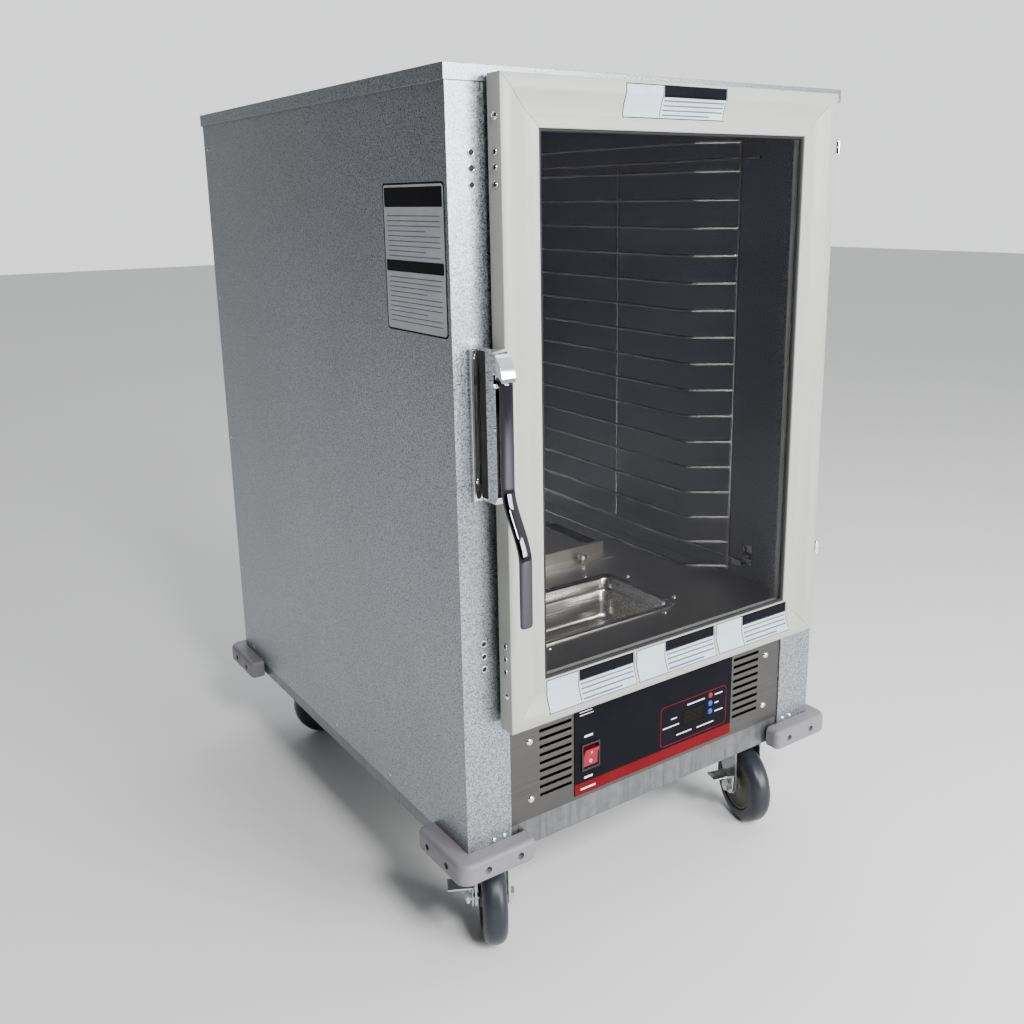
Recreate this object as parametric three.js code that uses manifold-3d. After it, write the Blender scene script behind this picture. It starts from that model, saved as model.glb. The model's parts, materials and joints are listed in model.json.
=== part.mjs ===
// Heated food holding cabinet: half height, single wall, on four swivel casters.
// Units are millimetres and +Z is up. +X is the cabinet's right as its user faces it, and the door is
// on the -Y side. Every sub-part is laid out from the front jamb plane (y = 0) and the floor (z = 0),
// and the finished group is shifted along Y so that the origin lies under the middle of its box.
import * as THREE from "three";
import { mergeVertices } from "three/addons/utils/BufferGeometryUtils.js";
import Module from "manifold-3d";

const wasm = await Module();
wasm.setup();

// ---- Driving dimensions ----

const WIDTH = 570;
const DEPTH = 714;
const TOP = 1009;
const BODY_BOTTOM = 155;
const SHEET = 2;
const GAP = 0.4;

const JAMB_WIDTH = 60;
const JAMB_RETURN = 25;
const BACK_FLANGE = 25;
const CAP_DEPTH = 16;
const CAP_PROUD = 2.2;

const BASE_BOTTOM = 135;
const BASE_TOP = 169;
const BASE_SETBACK = 3;
const CHANNEL_BOTTOM = 151;
const CHANNEL_HALF_WIDTH = 45;

const DECK_TOP = 324;
const DECK_SILL = 24;
const HEADER_BOTTOM = 983;

const DOOR_LEFT = -242;
const DOOR_RIGHT = 248;
const DOOR_BOTTOM = 307;
const DOOR_TOP = 1000;
const DOOR_BACK = -8;
const DOOR_FRONT = -31;
const FRAME_WIDTH = 50;
const GLASS_FRONT = -20.3;
const GLASS_BACK = -15.7;
const GLASS_SEAT = 8.5;

const HINGE_X = 258;
const HINGE_Y = -24;
const HINGE_HEIGHTS = { upper: 912, lower: 394 };
const HINGE_HALF = 25;
const KNUCKLE_RISE = 26;
const KNUCKLE_RADIUS = 5;
const KNUCKLE_HEIGHT = 6.5;
const PIN_RADIUS = 2.2;

const LATCH_LEFT = -259;
const LATCH_RIGHT = DOOR_LEFT - GAP;
const LATCH_BOTTOM = 576;
const LATCH_TOP = 737;
const LEVER_PIVOT = { y: -33, z: 690 };
const LEVER_THICKNESS = 9;
const LEVER_ARC = 22;
const LATCH_FACE = -38;
const LEVER_BACK = -41;

const PANEL_FACE = 1.5;
const OVERLAY_FACE = 0.5;
const OVERLAY = { left: -132.4, right: 131.4, bottom: 174.7, top: 292 };
const SWITCH = { x: -108.5, z: 223, width: 28, height: 35 };
const ROCKER = { pivotY: 2.5, tilt: 10 };
const DISPLAY = { x: 63.5, z: 223, width: 40, height: 21 };
const BUTTON_X = 92.8;
const BUTTON_HEIGHTS = { mode: 241.7, up: 230.2, down: 218.7 };
const BUTTON_RADIUS = 4;

const RUNNERS = 17;
const RUNNER_PITCH = 38.1;
const LOWEST_RUNNER = 343.6;
const RUNNER_X = 212;
const UPRIGHT_X = 265;
const RACK_FRONT = 144;
const RACK_BACK = 668;
const FLARE = 42;
const WIRE_RADIUS = 2.4;
const UPRIGHT_RADIUS = 3;
const HANGER_HEIGHTS = [358, 932];

const PAN = { y: 188, width: 272, depth: 158, well: 60 };
const COVER = { front: 343, back: 600, halfWidth: 186, height: 21 };
const BLOWER = { y: 470, bottom: 172, top: 280, radius: 80 };

const BUMPER_BOTTOM = 131;
const BUMPER_TOP = 159;
const BUMPER_PROUD = 22;
const BUMPER_ARM = 82;

const CASTER_INSET = 72;
const CASTER_TRAIL = 34;
const WHEEL_RADIUS = 56;
const WHEEL_WIDTH = 30;
const FORK_TOP = 141;
const PEDAL_SPACE = 5;
// The direction of each axle, in degrees anticlockwise from +X, as the casters happen to stand.
const CASTERS = {
  front_left: { x: -1, y: -1, axle: 153, brake: true },
  front_right: { x: 1, y: -1, axle: 165, brake: true },
  rear_left: { x: -1, y: 1, axle: 270, brake: false },
  rear_right: { x: 1, y: 1, axle: 200, brake: false },
};

// ---- Materials ----

const finish = (color, roughness, metalness) =>
  new THREE.MeshStandardMaterial({ color, roughness, metalness });
const materials = {
  shell: finish(0xa9afb2, 0.45, 0.6),
  steel: finish(0x8f9290, 0.35, 0.9),
  galvanised: finish(0x9a9c9e, 0.5, 0.8),
  doorFrame: finish(0xc3c5bf, 0.55, 0.1),
  glass: finish(0x2c2c30, 0.05, 0.0),
  chrome: finish(0xd8dade, 0.12, 1.0),
  wire: finish(0x8a8d8d, 0.25, 1.0),
  bumper: finish(0x8b8890, 0.6, 0.0),
  tyre: finish(0x3c4048, 0.5, 0.0),
  rubber: finish(0x1c1c1e, 0.8, 0.0),
  overlay: finish(0x17171b, 0.4, 0.0),
  display: finish(0x241a16, 0.15, 0.0),
  redPlastic: finish(0xd63a4a, 0.35, 0.0),
  bluePlastic: finish(0x2c5fd0, 0.4, 0.0),
};

// ---- Shape helpers ----

function box(x0, x1, y0, y1, z0, z1) {
  const g = new THREE.BoxGeometry(x1 - x0, y1 - y0, z1 - z0);
  return g.translate((x0 + x1) / 2, (y0 + y1) / 2, (z0 + z1) / 2);
}

function cylinder(radius, length, along, sides = 24) {
  const g = new THREE.CylinderGeometry(radius, radius, length, sides);
  if (along === "x") g.rotateZ(Math.PI / 2);
  if (along === "z") g.rotateX(Math.PI / 2);
  return g;
}

const outline = (points) => new THREE.Shape(points.map(([u, v]) => new THREE.Vector2(u, v)));

function rectangle(u0, u1, v0, v1) {
  return outline([
    [u0, v0],
    [u1, v0],
    [u1, v1],
    [u0, v1],
  ]);
}

function roundedRectangle(halfU, halfV, radius, steps = 5) {
  const points = [];
  const corners = [
    [1, 1, 0],
    [-1, 1, 1],
    [-1, -1, 2],
    [1, -1, 3],
  ];
  for (const [su, sv, quarter] of corners) {
    for (let i = 0; i <= steps; i++) {
      const angle = (quarter + i / steps) * (Math.PI / 2);
      const u = su * (halfU - radius) + radius * Math.cos(angle);
      const v = sv * (halfV - radius) + radius * Math.sin(angle);
      points.push([u, v]);
    }
  }
  return points;
}

const X = new THREE.Vector3(1, 0, 0);
const Y = new THREE.Vector3(0, 1, 0);
const Z = new THREE.Vector3(0, 0, 1);

function extrudeZ(shape, z0, z1) {
  const g = new THREE.ExtrudeGeometry(shape, { depth: z1 - z0, bevelEnabled: false });
  return g.translate(0, 0, z0);
}

// The shape is drawn in (y, z) and runs from x0 to x1.
function extrudeX(shape, x0, x1) {
  const g = new THREE.ExtrudeGeometry(shape, { depth: x1 - x0, bevelEnabled: false, curveSegments: 6 });
  g.applyMatrix4(new THREE.Matrix4().makeBasis(Y, Z, X));
  return g.translate(x0, 0, 0);
}

// The shape is drawn in (x, z) and runs from y0 to y1.
function extrudeY(shape, y0, y1) {
  const g = new THREE.ExtrudeGeometry(shape, { depth: y1 - y0, bevelEnabled: false });
  g.applyMatrix4(new THREE.Matrix4().makeBasis(X, Z, Y.clone().negate()));
  return g.translate(0, y1, 0);
}

// A closed skin through rings of equally many points, each ring a list of [x, y, z]. The section is
// the rings' outline on a plane, which says how to fill the ends.
function loft(rings, section) {
  const count = rings[0].length;
  const vertices = rings.flat();
  const index = [];
  for (let r = 0; r + 1 < rings.length; r++) {
    for (let i = 0; i < count; i++) {
      const a = r * count + i;
      const b = r * count + ((i + 1) % count);
      index.push(a, b, b + count, a, b + count, a + count);
    }
  }
  const last = (rings.length - 1) * count;
  const flat = section.map(([u, v]) => new THREE.Vector2(u, v));
  const clockwise = THREE.ShapeUtils.isClockWise(flat);
  for (const triangle of THREE.ShapeUtils.triangulateShape(flat, [])) {
    const [a, b, c] = clockwise ? triangle.reverse() : triangle;
    index.push(c, b, a);
    index.push(last + a, last + b, last + c);
  }
  const g = new THREE.BufferGeometry();
  g.setAttribute("position", new THREE.Float32BufferAttribute(vertices.flat(), 3));
  g.setIndex(index);
  return g;
}

// A round wire through points at one height, mitred where it bends.
function levelWire(points, radius, sides = 6) {
  const round = Array.from({ length: sides }, (_, i) => {
    const angle = (i / sides) * 2 * Math.PI;
    return [radius * Math.cos(angle), -radius * Math.sin(angle)];
  });
  const heading = (from, to) => to.clone().sub(from).normalize();
  const rings = points.map((point, i) => {
    const before = i > 0 ? heading(points[i - 1], point) : heading(point, points[i + 1]);
    const after = i + 1 < points.length ? heading(point, points[i + 1]) : before;
    const across = before.clone().add(after).normalize().cross(Z);
    const stretch = 1 / Math.cos(before.angleTo(after) / 2);
    return round.map(([u, v]) => [
      point.x + across.x * u * stretch,
      point.y + across.y * u * stretch,
      point.z + v,
    ]);
  });
  return loft(rings, round);
}

function solidOf(geometry) {
  const bare = geometry.clone();
  bare.deleteAttribute("normal");
  bare.deleteAttribute("uv");
  const merged = mergeVertices(bare, 1e-3);
  return new wasm.Manifold(
    new wasm.Mesh({
      numProp: 3,
      vertProperties: new Float32Array(merged.attributes.position.array),
      triVerts: new Uint32Array(merged.index.array),
    }),
  );
}

function geometryOf(solid) {
  const mesh = solid.getMesh();
  const g = new THREE.BufferGeometry();
  g.setAttribute("position", new THREE.BufferAttribute(mesh.vertProperties, 3));
  g.setIndex(new THREE.BufferAttribute(mesh.triVerts, 1));
  g.computeVertexNormals();
  return g;
}

function join(...geometries) {
  const [first, ...rest] = geometries.map(solidOf);
  return geometryOf(rest.reduce((whole, piece) => whole.add(piece), first));
}

function cut(geometry, ...tools) {
  const start = solidOf(geometry);
  return geometryOf(tools.map(solidOf).reduce((whole, tool) => whole.subtract(tool), start));
}

const cabinet = new THREE.Group();

function addPiece(name, geometry, material, parent = cabinet) {
  const mesh = new THREE.Mesh(geometry, material);
  mesh.name = name;
  parent.add(mesh);
  return mesh;
}

// ---- Shell ----

const HALF = WIDTH / 2;
const JAMB_INNER = HALF - JAMB_WIDTH;
const LINER_HALF = HALF - SHEET - 0.5;
const LINER_BACK = DEPTH - 5;

function addSidePanel(name, side) {
  const shape = outline(
    [
      [HALF, 0],
      [JAMB_INNER, 0],
      [JAMB_INNER, JAMB_RETURN],
      [JAMB_INNER + SHEET, JAMB_RETURN],
      [JAMB_INNER + SHEET, SHEET],
      [HALF - SHEET, SHEET],
      [HALF - SHEET, DEPTH - SHEET],
      [HALF - BACK_FLANGE, DEPTH - SHEET],
      [HALF - BACK_FLANGE, DEPTH],
      [HALF, DEPTH],
    ].map(([x, y]) => [side * x, y]),
  );
  addPiece(name, extrudeZ(shape, BODY_BOTTOM, TOP - SHEET - GAP), materials.shell);
}

// The plan of the base and deck: as wide as the inside, and notched round the jambs' returns.
function notchedPlan(front, inset = 0) {
  const half = LINER_HALF - inset;
  const notch = JAMB_INNER - 0.6 - inset;
  const shoulder = JAMB_RETURN + 0.6 + inset;
  return outline([
    [-notch, front + inset],
    [notch, front + inset],
    [notch, shoulder],
    [half, shoulder],
    [half, LINER_BACK - inset],
    [-half, LINER_BACK - inset],
    [-half, shoulder],
    [-notch, shoulder],
  ]);
}

function addTopCap() {
  const outer = box(-HALF - CAP_PROUD, HALF + CAP_PROUD, -CAP_PROUD, DEPTH + CAP_PROUD, TOP - CAP_DEPTH, TOP);
  const inner = CAP_PROUD - 1.6;
  const hollow = box(-HALF - inner, HALF + inner, -inner, DEPTH + inner, TOP - CAP_DEPTH - 1, TOP - SHEET);
  addPiece("top_cap", cut(outer, hollow), materials.shell);
}

function addDoorHeader() {
  const top = TOP - SHEET - GAP;
  const inner = JAMB_RETURN - SHEET;
  const channel = outline([
    [0, HEADER_BOTTOM],
    [JAMB_RETURN, HEADER_BOTTOM],
    [JAMB_RETURN, top],
    [inner, top],
    [inner, HEADER_BOTTOM + SHEET],
    [SHEET, HEADER_BOTTOM + SHEET],
    [SHEET, top],
    [0, top],
  ]);
  addPiece("door_header", extrudeX(channel, -JAMB_INNER + GAP, JAMB_INNER - GAP), materials.shell);
}

function addShell() {
  addSidePanel("side_panel_left", -1);
  addSidePanel("side_panel_right", 1);
  const back = box(-LINER_HALF, LINER_HALF, DEPTH - 4.5, DEPTH - 2.5, BODY_BOTTOM, TOP - SHEET - GAP);
  addPiece("back_panel", back, materials.shell);
  addTopCap();
  addDoorHeader();
}

// ---- Base, deck and what is under the deck ----

function addBaseFrame() {
  const tray = extrudeZ(notchedPlan(BASE_SETBACK), BASE_BOTTOM, BASE_TOP);
  const hollow = extrudeZ(notchedPlan(BASE_SETBACK, SHEET), BASE_BOTTOM - 1, BASE_TOP - SHEET);
  const wall = 3;
  const channels = [CASTER_INSET, DEPTH - CASTER_INSET].map((y) => {
    const outer = CHANNEL_HALF_WIDTH;
    const inner = CHANNEL_HALF_WIDTH - wall;
    const top = BASE_TOP - 1;
    const floor = CHANNEL_BOTTOM + wall;
    const section = outline([
      [y - outer, top],
      [y - outer, CHANNEL_BOTTOM],
      [y + outer, CHANNEL_BOTTOM],
      [y + outer, top],
      [y + inner, top],
      [y + inner, floor],
      [y - inner, floor],
      [y - inner, top],
    ]);
    return extrudeX(section, -HALF + BACK_FLANGE, HALF - BACK_FLANGE);
  });
  addPiece("base_frame", join(cut(tray, hollow), ...channels), materials.galvanised);
}

function addDeck() {
  const sheet = extrudeZ(notchedPlan(0), DECK_TOP - SHEET, DECK_TOP);
  const well = panBlock([8, DECK_TOP - 5, 14], [8, DECK_TOP + 5, 14]);
  const air = box(-150, 150, COVER.front + 27, COVER.back - 30, DECK_TOP - 5, DECK_TOP + 5);
  const sillHalf = JAMB_INNER - 0.6;
  const sill = box(-sillHalf, sillHalf, 0, SHEET, DECK_TOP - DECK_SILL, DECK_TOP);
  addPiece("inner_deck", join(cut(sheet, well, air), sill), materials.steel);
}

// A block with rounded corners round the pan's middle, from one inset, height and radius to another.
function panBlock(...levels) {
  const outlines = levels.map(([inset, , radius]) =>
    roundedRectangle(PAN.width / 2 - inset, PAN.depth / 2 - inset, radius),
  );
  const rings = outlines.map((ring, i) => ring.map(([x, y]) => [x, y + PAN.y, levels[i][1]]));
  return loft(rings, outlines[0]);
}

function addWaterPan() {
  const rimBottom = DECK_TOP + GAP;
  const rimTop = rimBottom + 1.6;
  const floor = rimBottom - PAN.well;
  const rim = panBlock([0, rimBottom, 16], [0, rimTop, 16]);
  const outside = panBlock([20, floor, 18], [10, rimBottom + 0.5, 14]);
  const inside = panBlock([22, floor + 2, 16], [12, rimTop + 1, 12]);
  addPiece("water_pan", cut(join(rim, outside), inside), materials.steel);
}

function addHeaterCover() {
  const bottom = DECK_TOP + GAP;
  const top = DECK_TOP + COVER.height;
  const { front, back, halfWidth } = COVER;
  const shell = box(-halfWidth, halfWidth, front, back, bottom, top);
  const hollow = box(-halfWidth + 1.5, halfWidth - 1.5, front + 1.5, back - 1.5, bottom - 1, top - 1.5);
  const flange = box(-halfWidth, halfWidth, front - 25, front + 1, bottom, bottom + 1.6);
  const slots = [-1, 1].map((side) => {
    const middle = side * (halfWidth - 21);
    return box(middle - 11, middle + 11, front + 15, back - 15, top - 3, top + 1);
  });
  addPiece("heater_cover", cut(join(cut(shell, hollow), flange), ...slots), materials.steel);
}

function addHeaterElement() {
  const height = 300;
  const reach = 120;
  const rows = 6;
  const firstRow = COVER.front + 45;
  const pitch = 30;
  const points = [];
  for (let row = 0; row < rows; row++) {
    const side = row % 2 === 0 ? -1 : 1;
    const y = firstRow + row * pitch;
    points.push(new THREE.Vector3(side * reach, y, height));
    points.push(new THREE.Vector3(-side * reach, y, height));
  }
  addPiece("heater_element", levelWire(points, 4, 8), materials.steel);
}

function addBlower() {
  const { y, bottom, top, radius } = BLOWER;
  const drum = cylinder(radius, top - bottom, "z", 32).translate(0, y, (bottom + top) / 2);
  const hollow = cylinder(radius - 2, top - bottom, "z", 32).translate(0, y, (bottom + top) / 2 + 2);
  const outlet = box(-20, 20, y - radius - 5, y - radius + 12, bottom + 30, top - 20);
  addPiece("blower_housing", cut(drum, hollow, outlet), materials.galvanised);

  const hubBottom = bottom + 6;
  const wheelTop = top - 16;
  const hub = cylinder(22, wheelTop - hubBottom, "z").translate(0, y, (hubBottom + wheelTop) / 2);
  const disc = cylinder(66, 3, "z", 32).translate(0, y, hubBottom + 1.5);
  const blades = Array.from({ length: 12 }, (_, i) => {
    const blade = box(20, 64, -1.2, 1.2, hubBottom, wheelTop);
    return blade.rotateZ((i / 12) * 2 * Math.PI).translate(0, y, 0);
  });
  addPiece("blower_wheel", join(hub, disc, ...blades), materials.steel);
}

// ---- Controls ----

// A box through the panel's thickness, as large as a control and a margin round it.
function controlBlock({ x, z, width, height }, margin, y0, y1) {
  const halfWidth = width / 2 + margin;
  const halfHeight = height / 2 + margin;
  return box(x - halfWidth, x + halfWidth, y0, y1, z - halfHeight, z + halfHeight);
}

const buttonBores = () =>
  Object.values(BUTTON_HEIGHTS).map((z) =>
    cylinder(BUTTON_RADIUS + 0.35, 8, "y", 20).translate(BUTTON_X, PANEL_FACE, z),
  );

function addControlPanel() {
  const half = JAMB_INNER - 0.6;
  const top = DECK_TOP - DECK_SILL - GAP;
  const back = PANEL_FACE + SHEET;
  const sheet = box(-half, half, PANEL_FACE, back, BASE_TOP + GAP, top);
  const slotRows = 10;
  const slotPitch = 10.4;
  const lowestSlot = 195.5;
  const slotMiddle = 159.5;
  const slots = [];
  for (const middle of [-slotMiddle, slotMiddle]) {
    for (let row = 0; row < slotRows; row++) {
      const z = lowestSlot + row * slotPitch;
      slots.push(box(middle - 23.5, middle + 23.5, PANEL_FACE - 1, back + 1, z - 2, z + 2));
    }
  }
  const switchHole = controlBlock(SWITCH, -1, PANEL_FACE - 1, back + 1);
  addPiece("control_panel", cut(sheet, ...slots, switchHole, ...buttonBores()), materials.steel);
}

function addOverlay() {
  const back = PANEL_FACE - 0.3;
  const { left, right, bottom, top } = OVERLAY;
  const sheet = box(left, right, OVERLAY_FACE, back, bottom, top);
  const holes = [SWITCH, DISPLAY].map((control) => controlBlock(control, GAP, 0, PANEL_FACE));
  addPiece("control_overlay", cut(sheet, ...holes, ...buttonBores()), materials.overlay);
  const pane = controlBlock(DISPLAY, 0, OVERLAY_FACE - 0.2, back);
  addPiece("display_window", pane, materials.display);
}

function addSwitch() {
  const lip = controlBlock(SWITCH, 0, OVERLAY_FACE - 2, PANEL_FACE - 0.3);
  const body = controlBlock(SWITCH, -1.4, PANEL_FACE - 1, PANEL_FACE + 24);
  const well = controlBlock(SWITCH, -2.4, OVERLAY_FACE - 3, PANEL_FACE + 20);
  addPiece("switch_bezel", cut(join(lip, body), well), materials.rubber);

  // The rocker is drawn upright round its pivot and tilted, so that its lower end is the pressed one.
  const halfHeight = SWITCH.height / 2 - 5.2;
  const halfWidth = SWITCH.width / 2 - 3;
  const shape = outline([
    [11, -6],
    [-5, -halfHeight],
    [-3.2, 0],
    [-5, halfHeight],
    [11, 6],
  ]);
  const rocker = extrudeX(shape, -halfWidth, halfWidth);
  rocker.rotateX(THREE.MathUtils.degToRad(ROCKER.tilt));
  addPiece("power_rocker", rocker.translate(SWITCH.x, ROCKER.pivotY, SWITCH.z), materials.redPlastic);
}

function addButtons() {
  for (const [name, z] of Object.entries(BUTTON_HEIGHTS)) {
    const button = cylinder(BUTTON_RADIUS, 10, "y", 20).translate(BUTTON_X, OVERLAY_FACE + 3.6, z);
    const colour = name === "mode" ? materials.redPlastic : materials.bluePlastic;
    addPiece("button_" + name, button, colour);
  }
}

// The controller's closed module, behind the overlay.
function addControlModule() {
  const module = box(20, 118, 40, 76, BASE_TOP + 12, 282);
  addPiece("control_module", module, materials.rubber);
}

// ---- Door ----

// The section of a door rail: u runs from the outer edge inwards, and y from front to back.
function railSection() {
  const points = [
    [0, DOOR_BACK],
    [0, DOOR_FRONT + 1.2],
    [0.4, DOOR_FRONT + 0.4],
    [1.2, DOOR_FRONT],
    [13, DOOR_FRONT],
  ];
  const steps = 8;
  const coveDrop = 6.4;
  for (let i = 1; i <= steps; i++) {
    const t = i / steps;
    points.push([13 + 22 * t, DOOR_FRONT + coveDrop * Math.sin((t * Math.PI) / 2)]);
  }
  const lipFront = DOOR_FRONT + coveDrop - 0.8;
  points.push([37, lipFront], [FRAME_WIDTH - 1, lipFront + 0.6], [FRAME_WIDTH, lipFront + 1.4]);
  points.push([FRAME_WIDTH, GLASS_FRONT - GAP], [FRAME_WIDTH - GLASS_SEAT - GAP, GLASS_FRONT - GAP]);
  points.push([FRAME_WIDTH - GLASS_SEAT - GAP, GLASS_BACK + GAP], [FRAME_WIDTH, GLASS_BACK + GAP]);
  points.push([FRAME_WIDTH, DOOR_BACK]);
  return points;
}

// One mitred rail between two corners: out is the direction from the window to the outer edge.
function mitredRail(length, place) {
  const mitreGap = 0.2;
  const section = railSection();
  const ring = (end) => section.map(([u, y]) => place(end * (length / 2 - u - mitreGap), u, y));
  return loft([ring(1), ring(-1)], section);
}

function addDoorFrame() {
  const middleX = (DOOR_LEFT + DOOR_RIGHT) / 2;
  const middleZ = (DOOR_BOTTOM + DOOR_TOP) / 2;
  const width = DOOR_RIGHT - DOOR_LEFT;
  const height = DOOR_TOP - DOOR_BOTTOM;
  const rails = {
    door_rail_top: [width, (along, u, y) => [middleX - along, y, DOOR_TOP - u]],
    door_rail_bottom: [width, (along, u, y) => [middleX + along, y, DOOR_BOTTOM + u]],
    door_stile_latch: [height, (along, u, y) => [DOOR_LEFT + u, y, middleZ - along]],
    door_stile_hinge: [height, (along, u, y) => [DOOR_RIGHT - u, y, middleZ + along]],
  };
  for (const [name, [length, place]] of Object.entries(rails)) {
    addPiece(name, mitredRail(length, place), materials.doorFrame);
  }
}

function addGlassAndGasket() {
  const edge = FRAME_WIDTH - GLASS_SEAT;
  const pane = rectangle(DOOR_LEFT + edge, DOOR_RIGHT - edge, DOOR_BOTTOM + edge, DOOR_TOP - edge);
  addPiece("door_glass", extrudeY(pane, GLASS_FRONT, GLASS_BACK), materials.glass);
  const outer = 8.5;
  const inner = 16.5;
  const rectangleAt = (e) => rectangle(DOOR_LEFT + e, DOOR_RIGHT - e, DOOR_BOTTOM + e, DOOR_TOP - e);
  const ring = rectangleAt(outer);
  ring.holes.push(new THREE.Path(rectangleAt(inner).getPoints()));
  addPiece("door_gasket", extrudeY(ring, DOOR_BACK + 0.3, -GAP), materials.rubber);
}

// A leaf on the jamb and a leaf on the door's side, with one short knuckle on the other above them.
function addHinge(name, z) {
  const middle = z + KNUCKLE_RISE;
  const knuckleOffset = (KNUCKLE_HEIGHT + 1) / 2;
  const leafThickness = 2.6;
  const leafLeft = DOOR_RIGHT + 4.6;
  const leaf = box(leafLeft, HINGE_X + 16, -leafThickness - GAP, -GAP, z - HINGE_HALF, middle - 0.5);
  const armBottom = middle - 0.5 - KNUCKLE_HEIGHT;
  const arm = box(HINGE_X - 1, HINGE_X + 4, HINGE_Y, -GAP - 1, armBottom, middle - 0.5);
  const knuckle = cylinder(KNUCKLE_RADIUS, KNUCKLE_HEIGHT, "z");
  knuckle.translate(HINGE_X, HINGE_Y, middle - knuckleOffset);
  const pin = cylinder(PIN_RADIUS, 10, "z", 16).translate(HINGE_X, HINGE_Y, middle + 0.5);
  addPiece("hinge_leaf_frame_" + name, join(leaf, arm, knuckle, pin), materials.chrome);

  const plateLeft = DOOR_RIGHT + GAP;
  const top = middle + 0.5 + KNUCKLE_HEIGHT;
  const plate = box(plateLeft, plateLeft + 1.6, HINGE_Y, DOOR_BACK - 1, z - HINGE_HALF, top);
  const web = box(plateLeft + 0.5, HINGE_X, HINGE_Y - 1.2, HINGE_Y + 2.6, middle + 0.5, top);
  const barrel = cylinder(KNUCKLE_RADIUS, KNUCKLE_HEIGHT, "z");
  barrel.translate(HINGE_X, HINGE_Y, middle + knuckleOffset);
  const finial = new THREE.SphereGeometry(KNUCKLE_RADIUS - 1.5, 16, 8);
  finial.translate(HINGE_X, HINGE_Y, top);
  const bore = cylinder(PIN_RADIUS + 0.3, 6, "z", 16).translate(HINGE_X, HINGE_Y, middle + 3.3);
  addPiece("hinge_leaf_door_" + name, cut(join(plate, web, barrel, finial), bore), materials.chrome);
}

// ---- Latch ----

// Points on an arc round the lever's pivot, from the depth y0 to the depth y1.
function pivotArc(radius, y0, y1, steps = 4) {
  const points = [];
  for (let i = 0; i <= steps; i++) {
    const y = y0 + ((y1 - y0) * i) / steps;
    const across = y - LEVER_PIVOT.y;
    points.push([y, LEVER_PIVOT.z + Math.sqrt(radius * radius - across * across)]);
  }
  return points;
}

// The hood over the lever's head is hollowed out round the pivot, so that the lever can swing.
function addLatchBody() {
  const back = DOOR_BACK - 1;
  const recess = LATCH_FACE + 3.5;
  const shape = outline([
    [back, LATCH_BOTTOM + 4],
    [back - 4, LATCH_BOTTOM],
    [LATCH_FACE + 5, LATCH_BOTTOM],
    [LATCH_FACE, LATCH_BOTTOM + 8],
    [LATCH_FACE, LEVER_PIVOT.z + 8],
    [recess, LEVER_PIVOT.z + 12],
    ...pivotArc(LEVER_ARC + 0.8, recess, -50.4, 6),
    [-50.6, 712],
    [-46, 724],
    [-38, 732],
    [-30, LATCH_TOP],
    [back - 3, LATCH_TOP],
    [back, LATCH_TOP - 3],
  ]);
  const body = extrudeX(shape, LATCH_LEFT, LATCH_RIGHT);
  const middle = (LATCH_LEFT + LATCH_RIGHT) / 2;
  const slot = box(middle - 4, middle + 4, -52, -22, LEVER_PIVOT.z - 16, LEVER_PIVOT.z + 15);
  const bore = cylinder(2.8, 13, "x", 16).translate(middle, LEVER_PIVOT.y, LEVER_PIVOT.z);
  addPiece("latch_body", cut(body, slot, bore), materials.chrome);
}

// The lever's middle line: straight beside the body, then an S-bend out to the grip.
function leverMiddle(t) {
  const top = LEVER_PIVOT.z + 18;
  const tip = 452;
  const bendTop = 596;
  const bendBottom = 522;
  const straightY = LEVER_BACK - LEVER_THICKNESS / 2;
  const gripY = -75;
  const z = top + (tip - top) * t;
  const s = Math.min(1, Math.max(0, (bendTop - z) / (bendTop - bendBottom)));
  const ease = s * s * (3 - 2 * s);
  return new THREE.Vector2(straightY + (gripY - straightY) * ease, z);
}

function addLatchHandle() {
  const steps = 26;
  const front = [];
  const rear = [];
  for (let i = 0; i <= steps; i++) {
    const t = i / steps;
    const here = leverMiddle(t);
    const along = leverMiddle(Math.min(1, t + 0.01)).sub(leverMiddle(Math.max(0, t - 0.01))).normalize();
    const halfThickness = (LEVER_THICKNESS / 2) * (1 - 0.35 * t * t);
    front.push([here.x + along.y * halfThickness, here.y - along.x * halfThickness]);
    rear.push([here.x - along.y * halfThickness, here.y + along.x * halfThickness]);
  }
  const bar = extrudeX(outline([...front, ...rear.reverse()]), LATCH_LEFT + 0.5, LATCH_RIGHT - 1);
  const middle = (LATCH_LEFT + LATCH_RIGHT) / 2;
  const above = outline([
    ...pivotArc(LEVER_ARC, LEVER_BACK + 2, LEVER_BACK - LEVER_THICKNESS - 1),
    [-60, 730],
    [-30, 730],
  ]);
  const trim = extrudeX(above, LATCH_LEFT - 5, LATCH_RIGHT + 5);
  const lug = box(middle - 3, middle + 3, LEVER_BACK - 2, LEVER_PIVOT.y + 5, 679, 697);
  const pin = cylinder(2.4, 12, "x", 16).translate(middle, LEVER_PIVOT.y, LEVER_PIVOT.z);
  addPiece("latch_handle", join(cut(bar, trim), lug, pin), materials.chrome);
}

function addStrike() {
  const bottom = LATCH_BOTTOM - 3;
  const top = LATCH_TOP - 2;
  const face = -5.4;
  const chamfer = 1.2;
  const shape = outline([
    [-GAP, bottom],
    [face + chamfer, bottom],
    [face, bottom + chamfer],
    [face, top - chamfer],
    [face + chamfer, top],
    [-GAP, top],
  ]);
  addPiece("strike_plate", extrudeX(shape, -267, -255.5), materials.chrome);
}

// ---- Wire slides ----

const rackRuns = () => Array.from({ length: RUNNERS }, (_, i) => LOWEST_RUNNER + i * RUNNER_PITCH);

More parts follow.
